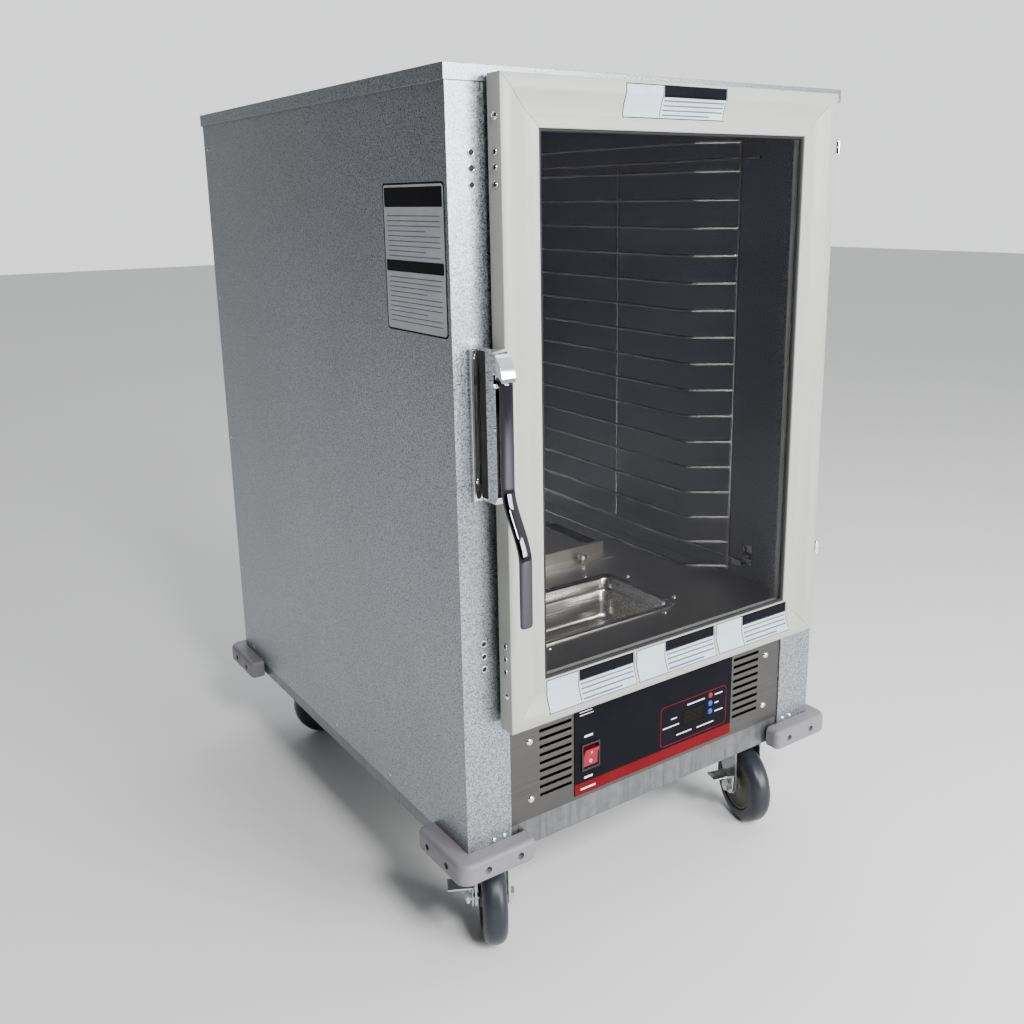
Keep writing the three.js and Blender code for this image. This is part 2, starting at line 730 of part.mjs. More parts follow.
function addRack(name, side) {
  const at = (x, y, z) => new THREE.Vector3(side * x, y, z);
  const runs = rackRuns().map((z) =>
    levelWire(
      [
        at(UPRIGHT_X, RACK_FRONT, z),
        at(RUNNER_X, RACK_FRONT + FLARE, z),
        at(RUNNER_X, RACK_BACK - FLARE, z),
        at(UPRIGHT_X, RACK_BACK, z),
      ],
      WIRE_RADIUS,
    ),
  );
  const lowest = LOWEST_RUNNER - 5;
  const height = (RUNNERS - 1) * RUNNER_PITCH + 10;
  const uprights = [RACK_FRONT, RACK_BACK].map((y) =>
    cylinder(UPRIGHT_RADIUS, height, "z", 8).translate(side * UPRIGHT_X, y, lowest + height / 2),
  );
  const hangers = HANGER_HEIGHTS.map((z) =>
    levelWire([at(UPRIGHT_X, RACK_FRONT - 36, z), at(UPRIGHT_X, RACK_BACK + 22, z)], 2.5),
  );
  const [low, high] = HANGER_HEIGHTS;
  const brace = cylinder(2.5, high - low, "z", 6);
  brace.translate(side * UPRIGHT_X, (RACK_FRONT + RACK_BACK) / 2, (low + high) / 2);
  addPiece(name, join(...runs, ...uprights, ...hangers, brace), materials.wire);
}

// A clip on the side wall: a flange on the wall and a shelf with a lip that the hanger wire rests on.
function addRackClip(name, side, y) {
  const wall = HALF - SHEET - GAP;
  const shelfTop = HANGER_HEIGHTS[0] - 2.5 - GAP;
  const halfWidth = 9;
  const lipOuter = UPRIGHT_X - 7;
  const parts = [
    [wall - 1.8, wall, shelfTop - 6, shelfTop + 24],
    [lipOuter, wall - 1, shelfTop - 2, shelfTop],
    [lipOuter, lipOuter + 2, shelfTop - 1, shelfTop + 6],
  ].map(([x0, x1, z0, z1]) => {
    const [left, right] = side > 0 ? [x0, x1] : [-x1, -x0];
    return box(left, right, y - halfWidth, y + halfWidth, z0, z1);
  });
  addPiece(name, join(...parts), materials.steel);
}

function addRacks() {
  for (const [hand, side] of [
    ["left", -1],
    ["right", 1],
  ]) {
    addRack("wire_slides_" + hand, side);
    addRackClip("slide_clip_front_" + hand, side, RACK_FRONT - 24);
    addRackClip("slide_clip_rear_" + hand, side, RACK_BACK + 14);
  }
}

// ---- Bumpers, power inlet and casters ----

function addBumper(name, side, end) {
  const outerRadius = 16;
  const reach = BUMPER_PROUD - GAP;
  const shape = new THREE.Shape();
  const arm = BUMPER_ARM;
  const tipRadius = 9;
  shape.moveTo(arm, 0);
  shape.lineTo(0, 0);
  shape.lineTo(0, arm);
  shape.lineTo(-reach + tipRadius, arm);
  shape.absarc(-reach + tipRadius, arm - tipRadius, tipRadius, Math.PI / 2, Math.PI);
  shape.lineTo(-reach, -reach + outerRadius);
  shape.absarc(-reach + outerRadius, -reach + outerRadius, outerRadius, Math.PI, Math.PI * 1.5);
  shape.lineTo(arm - tipRadius, -reach);
  shape.absarc(arm - tipRadius, -reach + tipRadius, tipRadius, Math.PI * 1.5, Math.PI * 2);
  shape.closePath();
  const bevel = 4;
  const bar = new THREE.ExtrudeGeometry(shape, {
    depth: BUMPER_TOP - BUMPER_BOTTOM - 2 * bevel,
    bevelThickness: bevel,
    bevelSize: bevel,
    bevelOffset: -bevel,
    bevelSegments: 2,
    curveSegments: 4,
  });
  bar.translate(0, 0, BUMPER_BOTTOM + bevel);
  const turn = side < 0 ? (end < 0 ? 0 : -1) : end < 0 ? 1 : 2;
  bar.rotateZ((turn * Math.PI) / 2);
  const y = end < 0 ? -GAP : DEPTH + GAP;
  addPiece(name, bar.translate(side * (HALF + GAP), y, 0), materials.bumper);
}

function addPowerInlet() {
  const gland = join(
    cylinder(15, 4, "y", 6).translate(0, 2, 0),
    cylinder(12, 12, "y").translate(0, 9, 0),
    cylinder(9, 4, "y").translate(0, 16, 0),
  );
  const throat = cylinder(5, 14, "y", 16).translate(0, 13, 0);
  const z = 215;
  const x = 190;
  addPiece("cord_gland", cut(gland, throat).translate(x, DEPTH - 2.5 + GAP, z), materials.rubber);
}

// The fork's leg, seen along the axle: u runs along the trail and v upwards.
function legOutline() {
  const shape = new THREE.Shape();
  const tip = 13;
  shape.moveTo(-20, FORK_TOP - 4);
  shape.lineTo(-14, FORK_TOP - 30);
  shape.lineTo(CASTER_TRAIL - tip, WHEEL_RADIUS);
  shape.absarc(CASTER_TRAIL, WHEEL_RADIUS, tip, Math.PI, 2 * Math.PI);
  shape.lineTo(CASTER_TRAIL + 10, FORK_TOP - 30);
  shape.lineTo(24, FORK_TOP - 4);
  shape.closePath();
  return shape;
}

function forkGeometry() {
  const legIn = WHEEL_WIDTH / 2 + 4;
  const leg = 2.8;
  const legs = [-1, 1].map((side) => {
    const [x0, x1] = side < 0 ? [-legIn - leg, -legIn] : [legIn, legIn + leg];
    return extrudeX(legOutline(), x0, x1);
  });
  const crown = box(-legIn - leg, legIn + leg, -20, 24, FORK_TOP - 7, FORK_TOP - 4);
  const race = cylinder(25, 4.5, "z", 20).translate(0, 0, FORK_TOP - 2.5);
  const kingpin = cylinder(6, 9, "z", 12).translate(0, 0, FORK_TOP + 2);
  const nutMiddle = legIn + leg + 2;
  const headMiddle = legIn + leg + PEDAL_SPACE + 3;
  const axle = cylinder(5, nutMiddle + headMiddle + 6, "x", 12);
  axle.translate((headMiddle - nutMiddle) / 2, CASTER_TRAIL, WHEEL_RADIUS);
  const nut = cylinder(8, 6, "x", 6).translate(-nutMiddle, CASTER_TRAIL, WHEEL_RADIUS);
  const head = cylinder(8, 4, "x", 6).translate(headMiddle, CASTER_TRAIL, WHEEL_RADIUS);
  return join(...legs, crown, race, kingpin, axle, nut, head);
}

// The wheel's section, turned round the axle: a crowned tread, a thinner web and a long hub.
function wheelGeometry() {
  const half = WHEEL_WIDTH / 2;
  const side = [
    [5.5, half + 1.5],
    [14, half + 1.5],
    [17, half - 4],
    [37, half - 4],
    [39, half],
    [50, half],
    [54.2, half - 3.5],
    [WHEEL_RADIUS, half - 10],
  ];
  const mirrored = side.map(([r, across]) => [r, -across]);
  const section = [...mirrored, ...side.reverse(), mirrored[0]];
  const points = section.map(([r, across]) => new THREE.Vector2(r, across));
  const wheel = new THREE.LatheGeometry(points, 28);
  return wheel.rotateZ(-Math.PI / 2).translate(0, CASTER_TRAIL, WHEEL_RADIUS);
}

// A brake pedal that turns on the axle, between the fork and the bolt's head.
function pedalGeometry() {
  const x = WHEEL_WIDTH / 2 + 4 + 2.8 + PEDAL_SPACE / 2;
  const thickness = 2;
  const front = CASTER_TRAIL - 11;
  const rear = CASTER_TRAIL + 11;
  const top = WHEEL_RADIUS + 20;
  const disc = cylinder(12, thickness, "x").translate(x, CASTER_TRAIL, WHEEL_RADIUS);
  const strap = box(x - 1, x + 1, front, rear, WHEEL_RADIUS, top);
  const tab = box(x - 1, x + 30, front, rear, top - thickness, top);
  const bore = cylinder(5.4, 10, "x", 16).translate(x, CASTER_TRAIL, WHEEL_RADIUS);
  return cut(join(disc, strap, tab), bore);
}

function plateGeometry() {
  const top = CHANNEL_BOTTOM - GAP;
  const plate = box(-40, 40, -36, 36, top - 3, top);
  const race = cylinder(26, top - 2 - FORK_TOP - GAP, "z");
  race.translate(0, 0, (top - 2 + FORK_TOP + GAP) / 2);
  const bore = cylinder(6.4, 20, "z", 16).translate(0, 0, FORK_TOP - 2.5);
  return cut(join(plate, race), bore);
}

function addCaster(name, { x, y, axle, brake }) {
  const centre = new THREE.Vector3(
    x * (HALF - CASTER_INSET),
    y < 0 ? CASTER_INSET : DEPTH - CASTER_INSET,
    0,
  );
  const plate = addPiece("caster_plate_" + name, plateGeometry(), materials.chrome);
  plate.position.copy(centre);
  const swivel = new THREE.Group();
  swivel.position.copy(centre);
  swivel.rotation.z = THREE.MathUtils.degToRad(axle);
  cabinet.add(swivel);
  addPiece("caster_fork_" + name, forkGeometry(), materials.chrome, swivel);
  addPiece("caster_wheel_" + name, wheelGeometry(), materials.tyre, swivel);
  if (brake) addPiece("brake_pedal_" + name, pedalGeometry(), materials.chrome, swivel);
}

// ---- Assembly ----

addShell();
addBaseFrame();
addDeck();
addWaterPan();
addHeaterCover();
addHeaterElement();
addBlower();
addControlPanel();
addOverlay();
addSwitch();
addButtons();
addControlModule();
addDoorFrame();
addGlassAndGasket();
for (const [name, z] of Object.entries(HINGE_HEIGHTS)) addHinge(name, z);
addLatchBody();
addLatchHandle();
addStrike();
addRacks();
addBumper("bumper_front_left", -1, -1);
addBumper("bumper_front_right", 1, -1);
addBumper("bumper_rear_left", -1, 1);
addBumper("bumper_rear_right", 1, 1);
addPowerInlet();
for (const [name, caster] of Object.entries(CASTERS)) addCaster(name, caster);

const bounds = new THREE.Box3().setFromObject(cabinet);
cabinet.position.y = -(bounds.min.y + bounds.max.y) / 2;

export default cabinet;
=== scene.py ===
"""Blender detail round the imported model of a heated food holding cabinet.

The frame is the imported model's, in metres. Distances that are named in millimetres are turned into
metres by at(), which counts y from the front face of the jambs and z from the floor.
"""

import json
import math

import bpy
from mathutils import Matrix, Vector


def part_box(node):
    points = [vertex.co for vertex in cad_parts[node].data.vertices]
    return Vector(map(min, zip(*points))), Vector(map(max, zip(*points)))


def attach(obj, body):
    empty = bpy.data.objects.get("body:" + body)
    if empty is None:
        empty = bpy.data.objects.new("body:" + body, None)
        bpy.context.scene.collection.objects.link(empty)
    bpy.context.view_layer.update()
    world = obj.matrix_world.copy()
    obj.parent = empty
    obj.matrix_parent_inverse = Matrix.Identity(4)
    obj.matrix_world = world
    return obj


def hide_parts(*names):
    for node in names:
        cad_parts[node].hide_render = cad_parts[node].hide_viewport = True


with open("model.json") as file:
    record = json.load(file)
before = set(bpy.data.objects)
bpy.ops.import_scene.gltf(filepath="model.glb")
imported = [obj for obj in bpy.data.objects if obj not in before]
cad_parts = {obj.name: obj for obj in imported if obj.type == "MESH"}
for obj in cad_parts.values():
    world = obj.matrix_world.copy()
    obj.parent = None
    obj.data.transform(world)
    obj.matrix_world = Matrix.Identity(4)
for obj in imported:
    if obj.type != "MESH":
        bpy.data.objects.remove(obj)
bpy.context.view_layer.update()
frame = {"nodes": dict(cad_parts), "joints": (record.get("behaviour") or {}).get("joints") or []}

MM = 0.001
JAMB_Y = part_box("side_panel_left")[0].y
JOINTS = {joint["name"]: joint for joint in frame["joints"]}
X = Vector((1, 0, 0))
Y = Vector((0, 1, 0))
Z = Vector((0, 0, 1))

CASTERS = ("front_left", "front_right", "rear_left", "rear_right")
BRAKED = ("front_left", "front_right")

# Sizes and places in at()'s millimetres, and angles in degrees.
SMOOTH_ANGLE = 35
SOFTENED_ANGLE = 32
WELD = 0.02
PLUG_HEIGHTS = (379, 394, 409, 896, 912, 927)
HINGE_HEIGHTS = {"upper": 912, "lower": 394}
WHEEL = {"half_width": 15, "shoulder": 12, "tread": 56}
BUMPER = {"arm": 82, "proud": 21.6, "corner": 16, "tip": 9, "edge": 6, "screws": (14, 58)}
RUNNER_COUNT = 17
RUNNER_PITCH = 38.1
SLIDE = {"wall": 265, "runner": 212, "flare": 42, "posts": (144, 668), "rails": (358, 932)}
LEVER = {
    "x": -250.95,
    "pivot_y": -33,
    "pivot_z": 690,
    "top": 708,
    "tip": 452,
    "straight_y": -45.5,
    "grip_y": -75,
    "bend": (596, 522),
    "half_width": 7.5,
    "half_depth": 4.4,
    "taper": 0.35,
    "side_power": 0.72,
    "face_power": 0.82,
}
STILE_WIDTH = 50
ROCKER = {"half_height": 12.3, "crown": 1.8, "proud": 4.1, "tilt": 10}
PRINT = 0.12


def at(x, y, z):
    return Vector((x * MM, JAMB_Y + y * MM, z * MM))


def box_mm(node):
    """A CAD node's lowest and highest corner as x, y and z in at()'s millimetres."""
    return [(p.x / MM, (p.y - JAMB_Y) / MM, p.z / MM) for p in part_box(node)]


# ---- Materials ----


class Finish:
    """A Principled material whose procedural detail is laid out in metres."""

    def __init__(self, name, color, roughness, metallic=0.0):
        self.material = bpy.data.materials.new(name)
        self.material.use_nodes = True
        self.nodes = self.material.node_tree.nodes
        self.links = self.material.node_tree.links
        self.shader = self.nodes["Principled BSDF"]
        self.color = color
        self.roughness = roughness
        self.set("Base Color", (*color, 1))
        self.set("Roughness", roughness)
        self.set("Metallic", metallic)

    def set(self, socket, value):
        self.shader.inputs[socket].default_value = value
        return self

    def texture(self, kind, scale, stretch=(1, 1, 1), output=0, **inputs):
        """The output of a texture node with that many features per metre."""
        place = self.nodes.new("ShaderNodeTexCoord")
        mapping = self.nodes.new("ShaderNodeMapping")
        mapping.inputs["Scale"].default_value = stretch
        node = self.nodes.new("ShaderNodeTex" + kind)
        node.inputs["Scale"].default_value = scale
        for key, value in inputs.items():
            node.inputs[key].default_value = value
        self.links.new(place.outputs["Object"], mapping.inputs["Vector"])
        self.links.new(mapping.outputs["Vector"], node.inputs["Vector"])
        return node.outputs[output]

    def remap(self, value, low, high, start=0.3, stop=0.7):
        """Stretches value's range from start to stop over the range from low to high."""
        node = self.nodes.new("ShaderNodeMapRange")
        node.inputs["From Min"].default_value = start
        node.inputs["From Max"].default_value = stop
        node.inputs["To Min"].default_value = low
        node.inputs["To Max"].default_value = high
        self.links.new(value, node.inputs["Value"])
        return node.outputs["Result"]

    def vary_color(self, value, other, amount=1.0):
        """Blends the base colour so far towards another one where value is high."""
        mix = self.nodes.new("ShaderNodeMix")
        mix.data_type = "RGBA"
        factor, first, second, result = mix.inputs[0], mix.inputs[6], mix.inputs[7], mix.outputs[2]
        socket = self.shader.inputs["Base Color"]
        if socket.is_linked:
            self.links.new(socket.links[0].from_socket, first)
        else:
            first.default_value = (*self.color, 1)
        second.default_value = (*other, 1)
        self.links.new(self.remap(value, 0, amount), factor)
        self.links.new(result, socket)
        return self

    def vary_roughness(self, value, spread):
        low, high = self.roughness - spread, self.roughness + spread
        self.links.new(self.remap(value, low, high), self.shader.inputs["Roughness"])
        return self

    def bump(self, value, height):
        """Relief of that height in metres, on top of any relief so far."""
        node = self.nodes.new("ShaderNodeBump")
        node.inputs["Distance"].default_value = height
        socket = self.shader.inputs["Normal"]
        if socket.is_linked:
            self.links.new(socket.links[0].from_socket, node.inputs["Normal"])
        self.links.new(value, node.inputs["Height"])
        self.links.new(node.outputs["Normal"], socket)
        return self

    def worn_edges(self, other, radius):
        """Lightens edges where the surface turns within that radius."""
        bevel = self.nodes.new("ShaderNodeBevel")
        bevel.samples = 4
        bevel.inputs["Radius"].default_value = radius
        geometry = self.nodes.new("ShaderNodeNewGeometry")
        dot = self.nodes.new("ShaderNodeVectorMath")
        dot.operation = "DOT_PRODUCT"
        self.links.new(bevel.outputs["Normal"], dot.inputs[0])
        self.links.new(geometry.outputs["Normal"], dot.inputs[1])
        invert = self.remap(dot.outputs["Value"], 1, 0, start=0.7, stop=1.0)
        return self.vary_color(invert, other, 0.5)


def stucco_aluminium():
    finish = Finish("stucco_aluminium", (0.115, 0.123, 0.132), 0.36, 0.9)
    grain = finish.texture("Noise", 650, Detail=2.0)
    fine = finish.texture("Noise", 1600, Detail=2.0)
    cloud = finish.texture("Noise", 7, Detail=4.0)
    finish.vary_color(grain, (0.50, 0.53, 0.565), 1.0)
    finish.vary_color(cloud, (0.20, 0.21, 0.22), 0.2)
    finish.vary_roughness(grain, 0.10)
    return finish.bump(grain, 0.00016).bump(fine, 0.00005)


def brushed_steel(name, along, color=(0.095, 0.0925, 0.088), roughness=0.34):
    """Sheet brushed along X, Y or Z."""
    stretch = [500, 500, 500]
    stretch["XYZ".index(along)] = 6
    finish = Finish(name, color, roughness, 1.0)
    brush = finish.texture("Noise", 1, stretch, Detail=6.0)
    cloud = finish.texture("Noise", 9, Detail=3.0)
    finish.vary_color(brush, tuple(c * 1.35 for c in color), 0.5)
    finish.vary_color(cloud, tuple(c * 0.8 for c in color), 0.3)
    return finish.vary_roughness(brush, 0.08).bump(brush, 0.00002)


def galvanised_sheet():
    finish = Finish("galvanised_sheet", (0.15, 0.154, 0.158), 0.38, 0.9)
    streaks = finish.texture("Noise", 1, (160, 160, 9), Detail=5.0)
    spangle = finish.texture("Voronoi", 110, output=1)
    finish.vary_color(streaks, (0.25, 0.257, 0.263), 0.7)
    finish.vary_color(spangle, (0.11, 0.113, 0.117), 0.3)
    return finish.vary_roughness(streaks, 0.14).bump(streaks, 0.00003)


def door_paint():
    finish = Finish("door_paint", (0.37, 0.375, 0.345), 0.40)
    peel = finish.texture("Noise", 700, Detail=2.0)
    smudge = finish.texture("Noise", 14, Detail=5.0)
    finish.vary_color(smudge, (0.335, 0.34, 0.315), 0.5)
    finish.worn_edges((0.50, 0.50, 0.47), 0.0012)
    return finish.vary_roughness(smudge, 0.07).bump(peel, 0.00004)


def smoked_glass():
    finish = Finish("smoked_glass", (0.010, 0.009, 0.013), 0.03)
    finish.set("Alpha", 0.14).set("IOR", 1.3)
    smear = finish.texture("Noise", 6, (1, 1, 2.5), Detail=6.0)
    return finish.vary_color(smear, (0.022, 0.02, 0.026), 0.6)


def chrome(name="chrome_plate", color=(0.80, 0.81, 0.83), roughness=0.07, ripple=0.00003):
    finish = Finish(name, color, roughness, 1.0)
    wave = finish.texture("Noise", 26, Detail=1.0)
    scuff = finish.texture("Noise", 320, Detail=4.0)
    return finish.vary_roughness(scuff, 0.04).bump(wave, ripple)


def zinc_plate():
    finish = Finish("zinc_plate", (0.55, 0.57, 0.58), 0.30, 1.0)
    bloom = finish.texture("Noise", 60, Detail=5.0)
    finish.vary_color(bloom, (0.72, 0.73, 0.70), 0.6)
    return finish.vary_roughness(bloom, 0.12).bump(bloom, 0.00003)


def moulded_plastic(name, color, roughness, grain=1500):
    finish = Finish(name, color, roughness).set("Specular IOR Level", 0.3)
    pebble = finish.texture("Noise", grain, Detail=2.0)
    cloud = finish.texture("Noise", 40, Detail=3.0)
    finish.vary_color(cloud, tuple(c * 0.85 for c in color), 0.5)
    return finish.vary_roughness(cloud, 0.06).bump(pebble, 0.00005)


def printed_film(name, color):
    finish = Finish(name, color, 0.34)
    finish.set("Specular IOR Level", 0.05)
    weave = finish.texture("Noise", 2600, Detail=1.0)
    tone = finish.texture("Noise", 30, Detail=3.0)
    finish.vary_color(tone, tuple(c * 1.25 + 0.002 for c in color), 0.5)
    return finish.vary_roughness(tone, 0.05).bump(weave, 0.00001)


FINISHES = {
    "shell": stucco_aluminium(),
    "steel": brushed_steel("brushed_steel_x", "X"),
    "steel_deep": brushed_steel("brushed_steel_y", "Y", (0.62, 0.60, 0.56), 0.36),
    "pressed": brushed_steel("pressed_steel", "X", (0.72, 0.70, 0.66), 0.22),
    "galvanised": galvanised_sheet(),
    "door_frame": door_paint(),
    "glass": smoked_glass(),
    "chrome": chrome(),
    # The lever's near-black, slightly purple base colour is a painted dark reflection, not the
    # chrome's own colour.
    "lever": chrome("lever_chrome_dark_reflection", (0.075, 0.07, 0.085), 0.05),
    "satin": brushed_steel("satin_chrome", "Z", (0.62, 0.62, 0.63), 0.26),
    "wire": chrome("wire_plate", (0.44, 0.43, 0.415), 0.22, 0.00001),
    "zinc": zinc_plate(),
    "bumper": moulded_plastic("bumper_plastic", (0.19, 0.182, 0.20), 0.42),
    "tyre": moulded_plastic("tyre_polyurethane", (0.022, 0.025, 0.032), 0.34, 900),
    "core": moulded_plastic("wheel_core", (0.095, 0.09, 0.075), 0.5),
    # One black finish for the door gasket and glazing seal, and for flat patches that paint shade in
    # holes, slots and the latch gap.
    "rubber": moulded_plastic("black_rubber", (0.012, 0.012, 0.013), 0.6),
    "black_plastic": moulded_plastic("black_plastic", (0.016, 0.016, 0.018), 0.35),
    "overlay": printed_film("overlay_black", (0.003, 0.003, 0.005)),
    "overlay_red": printed_film("overlay_red", (0.11, 0.003, 0.006)),
    "overlay_line": printed_film("overlay_line", (0.12, 0.004, 0.008)),
    "print_white": printed_film("print_white", (0.66, 0.68, 0.72)),
    "label": printed_film("label_film", (0.46, 0.50, 0.57)),
    "label_silver": printed_film("label_silver", (0.40, 0.41, 0.43)),
    "label_dark": printed_film("label_dark", (0.004, 0.004, 0.006)),
    "label_line": printed_film("label_line", (0.10, 0.11, 0.14)),
    "display": printed_film("display_window", (0.004, 0.003, 0.003)),
    "segment": printed_film("display_segment", (0.014, 0.008, 0.007)),
    "red_plastic": moulded_plastic("red_plastic", (0.24, 0.004, 0.016), 0.3, 2500),
    "blue_plastic": moulded_plastic("blue_plastic", (0.014, 0.06, 0.40), 0.3, 2500),
}


# ---- Mesh helpers ----


class Shape:
    """Collects the faces of one piece."""

    def __init__(self):
        self.vertices = []
        self.faces = []

    def add(self, vertices, faces):
        start = len(self.vertices)
        self.vertices += [tuple(v) for v in vertices]
        self.faces += [tuple(start + i for i in face) for face in faces]
        return self

    def loft(self, rings, closed=False):
        """A skin through rings of equally many points, with capped ends unless it is closed."""
        count = len(rings[0])
        pairs = len(rings) if closed else len(rings) - 1
        faces = []
        for r in range(pairs):
            a = r * count
            b = ((r + 1) % len(rings)) * count
            for i in range(count):
                j = (i + 1) % count
                faces.append((a + i, a + j, b + j, b + i))
        if not closed:
            faces.append(tuple(reversed(range(count))))
            faces.append(tuple(range(a + count, a + 2 * count)))
        return self.add([p for ring in rings for p in ring], faces)

    def lathe(self, profile, centre, axis, sides=32):
        """Turns (radius, height) points, in millimetres, round an axis through centre."""
        across = axis.orthogonal().normalized()
        other = axis.cross(across).normalized()
        rings = []
        for radius, height in profile:
            middle = centre + axis * (height * MM)
            ring = []
            for i in range(sides):
                angle = 2 * math.pi * i / sides
                spoke = across * math.cos(angle) + other * math.sin(angle)
                ring.append(middle + spoke * (radius * MM))
            rings.append(ring)
        return self.loft(rings)

    def tube(self, points, radius, sides=12):
        """A round rod of that radius in millimetres along points, with its ends closed."""
        count = len(points)
        tangents = [
            (points[min(i + 1, count - 1)] - points[max(i - 1, 0)]).normalized()
            for i in range(count)
        ]
        across = tangents[0].orthogonal().normalized()
        rings = []
        for point, tangent in zip(points, tangents):
            across = (across - tangent * across.dot(tangent)).normalized()
            other = tangent.cross(across)
            ring = []
            for i in range(sides):
                angle = 2 * math.pi * i / sides
                spoke = across * math.cos(angle) + other * math.sin(angle)
                ring.append(point + spoke * (radius * MM))
            rings.append(ring)
        return self.loft(rings)

    def box(self, low, high):
        spans = [(low[axis], high[axis]) for axis in range(3)]
        corners = [Vector((x, y, z)) for z in spans[2] for y in spans[1] for x in spans[0]]
        faces = [(0, 2, 3, 1), (4, 5, 7, 6), (0, 1, 5, 4)]
        faces += [(2, 6, 7, 3), (0, 4, 6, 2), (1, 3, 7, 5)]
        return self.add(corners, faces)

    def prism(self, outline, origin, u, v, depth):
        """Extrudes an outline of (u, v) millimetres from origin by depth along u x v."""
        normal = u.cross(v)
        flat = [origin + u * (a * MM) + v * (b * MM) for a, b in outline]
        return self.loft([flat, [p + normal * (depth * MM) for p in flat]])

    def frame(self, outer, inner, origin, u, v, depth):
        """Extrudes the band between two outlines of equally many points."""
        normal = u.cross(v) * (depth * MM)
        outside, inside = (
            [origin + u * (a * MM) + v * (b * MM) for a, b in outline] for outline in (outer, inner)
        )
        rings = [outside, [p + normal for p in outside], [p + normal for p in inside], inside]
        return self.loft(rings, closed=True)

    def finish(self, name, finish, body, slot=None, smooth=SMOOTH_ANGLE, replaces=()):
        """Makes the piece, with that finish, on a body that it rides on. The slot argument is not
        used.
        """
        mesh = bpy.data.meshes.new(name)
        mesh.from_pydata(self.vertices, [], self.faces)
        mesh.update()
        mesh.polygons.foreach_set("use_smooth", [True] * len(mesh.polygons))
        mesh.set_sharp_from_angle(angle=math.radians(smooth))
        mesh.materials.append(FINISHES[finish].material)
        piece = bpy.data.objects.new(name, mesh)
        bpy.context.scene.collection.objects.link(piece)
        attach(piece, body)
        if replaces:
            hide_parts(*replaces)
        return piece


def ramp(value, start, stop):
    """0 before start and 1 after stop, and evenly between."""
    return min(1, max(0, (value - start) / (stop - start)))


def rounded(width, height, radius, steps=5):
    """The outline of a rectangle round (0, 0) with rounded corners, anticlockwise."""
    points = []
    for quarter, (su, sv) in enumerate(((1, 1), (-1, 1), (-1, -1), (1, -1))):
        for i in range(steps + 1):
            angle = (quarter + i / steps) * math.pi / 2
            u = su * (width / 2 - radius) + radius * math.cos(angle)
            v = sv * (height / 2 - radius) + radius * math.sin(angle)
            points.append((u, v))
    return points


def filleted(corners, radius, steps=6):
    """A path through corners, rounded by that radius in millimetres."""
    path = [corners[0]]
    for before, corner, after in zip(corners, corners[1:], corners[2:]):
        back = (before - corner).normalized()
        ahead = (after - corner).normalized()
        half = back.angle(ahead) / 2
        reach = radius * MM / math.tan(half)
        start, stop = corner + back * reach, corner + ahead * reach
        for i in range(steps + 1):
            t = i / steps
            path.append(start * (1 - t) ** 2 + corner * (2 * t * (1 - t)) + stop * t**2)
    return path + [corners[-1]]


# ---- CAD nodes that keep their shape ----


def refine(node, finish, edge=0.4, segments=2):
    """Gives a CAD node its finish, and softens its edges by that many millimetres."""
    piece = frame["nodes"][node]
    piece.material_slots[0].material = FINISHES[finish].material
    custom = piece.data.attributes.get("custom_normal")
    if custom:
        piece.data.attributes.remove(custom)
    piece.data.polygons.foreach_set("use_smooth", [True] * len(piece.data.polygons))
    weld = piece.modifiers.new("weld", "WELD")
    weld.merge_threshold = WELD * MM
    bevel = piece.modifiers.new("soft_edges", "BEVEL")
    bevel.width = edge * MM
    bevel.segments = segments
    bevel.limit_method = "ANGLE"
    bevel.angle_limit = math.radians(SOFTENED_ANGLE)
    bevel.harden_normals = True


def refine_cad_nodes():
    for node in ("side_panel_left", "side_panel_right", "back_panel", "top_cap", "door_header"):
        refine(node, "shell", 0.5)
    refine("base_frame", "galvanised", 0.7)
    refine("blower_housing", "galvanised", 0.3)
    refine("control_panel", "steel", 0.2)
    refine("inner_deck", "steel_deep", 0.3)
    refine("heater_cover", "steel_deep", 0.5)
    for node in ("heater_element", "blower_wheel"):
        refine(node, "steel", 0.2)
    for side in ("left", "right"):
        for end in ("front", "rear"):
            refine(f"slide_clip_{end}_{side}", "chrome", 0.25)
    for node in ("door_rail_top", "door_rail_bottom", "door_stile_latch", "door_stile_hinge"):
        refine(node, "door_frame", 0.25)
    refine("door_glass", "glass", 0.3)
    refine("door_gasket", "rubber", 0.4)
    for level in ("upper", "lower"):
        refine(f"hinge_leaf_frame_{level}", "chrome", 0.3)
        refine(f"hinge_leaf_door_{level}", "chrome", 0.3)
    refine("latch_body", "chrome", 2.4, 4)
    refine("strike_plate", "satin", 0.6)
    refine("control_overlay", "overlay", 0.05)
    refine("display_window", "display", 0.1)
    refine("switch_bezel", "black_plastic", 0.5)
    refine("power_rocker", "red_plastic", 0.7, 3)
    refine("control_module", "black_plastic", 1.0)
    refine("cord_gland", "black_plastic", 0.6)
    for caster in CASTERS:
        refine(f"caster_plate_{caster}", "zinc", 0.4)
        refine(f"caster_fork_{caster}", "zinc", 0.4)
    for caster in BRAKED:
        refine(f"brake_pedal_{caster}", "zinc", 0.4)


# ---- Fasteners ----


def screw_heads(name, body, places, normal, radius=3.4, height=1.7, finish="chrome"):
    """Domed heads with a driver recess, each standing on its point of the surface."""
    shares = [(0.001, 0.45), (0.22, 0.45), (0.30, 0.92), (0.55, 0.84)]
    shares += [(0.80, 0.58), (0.95, 0.26), (1, 0)]
    profile = [(r * radius, h * height) for r, h in shares]
    shape = Shape()
    for place in places:
        shape.lathe(profile, place, normal, 20)
    shape.finish(name, finish, body, "chrome")


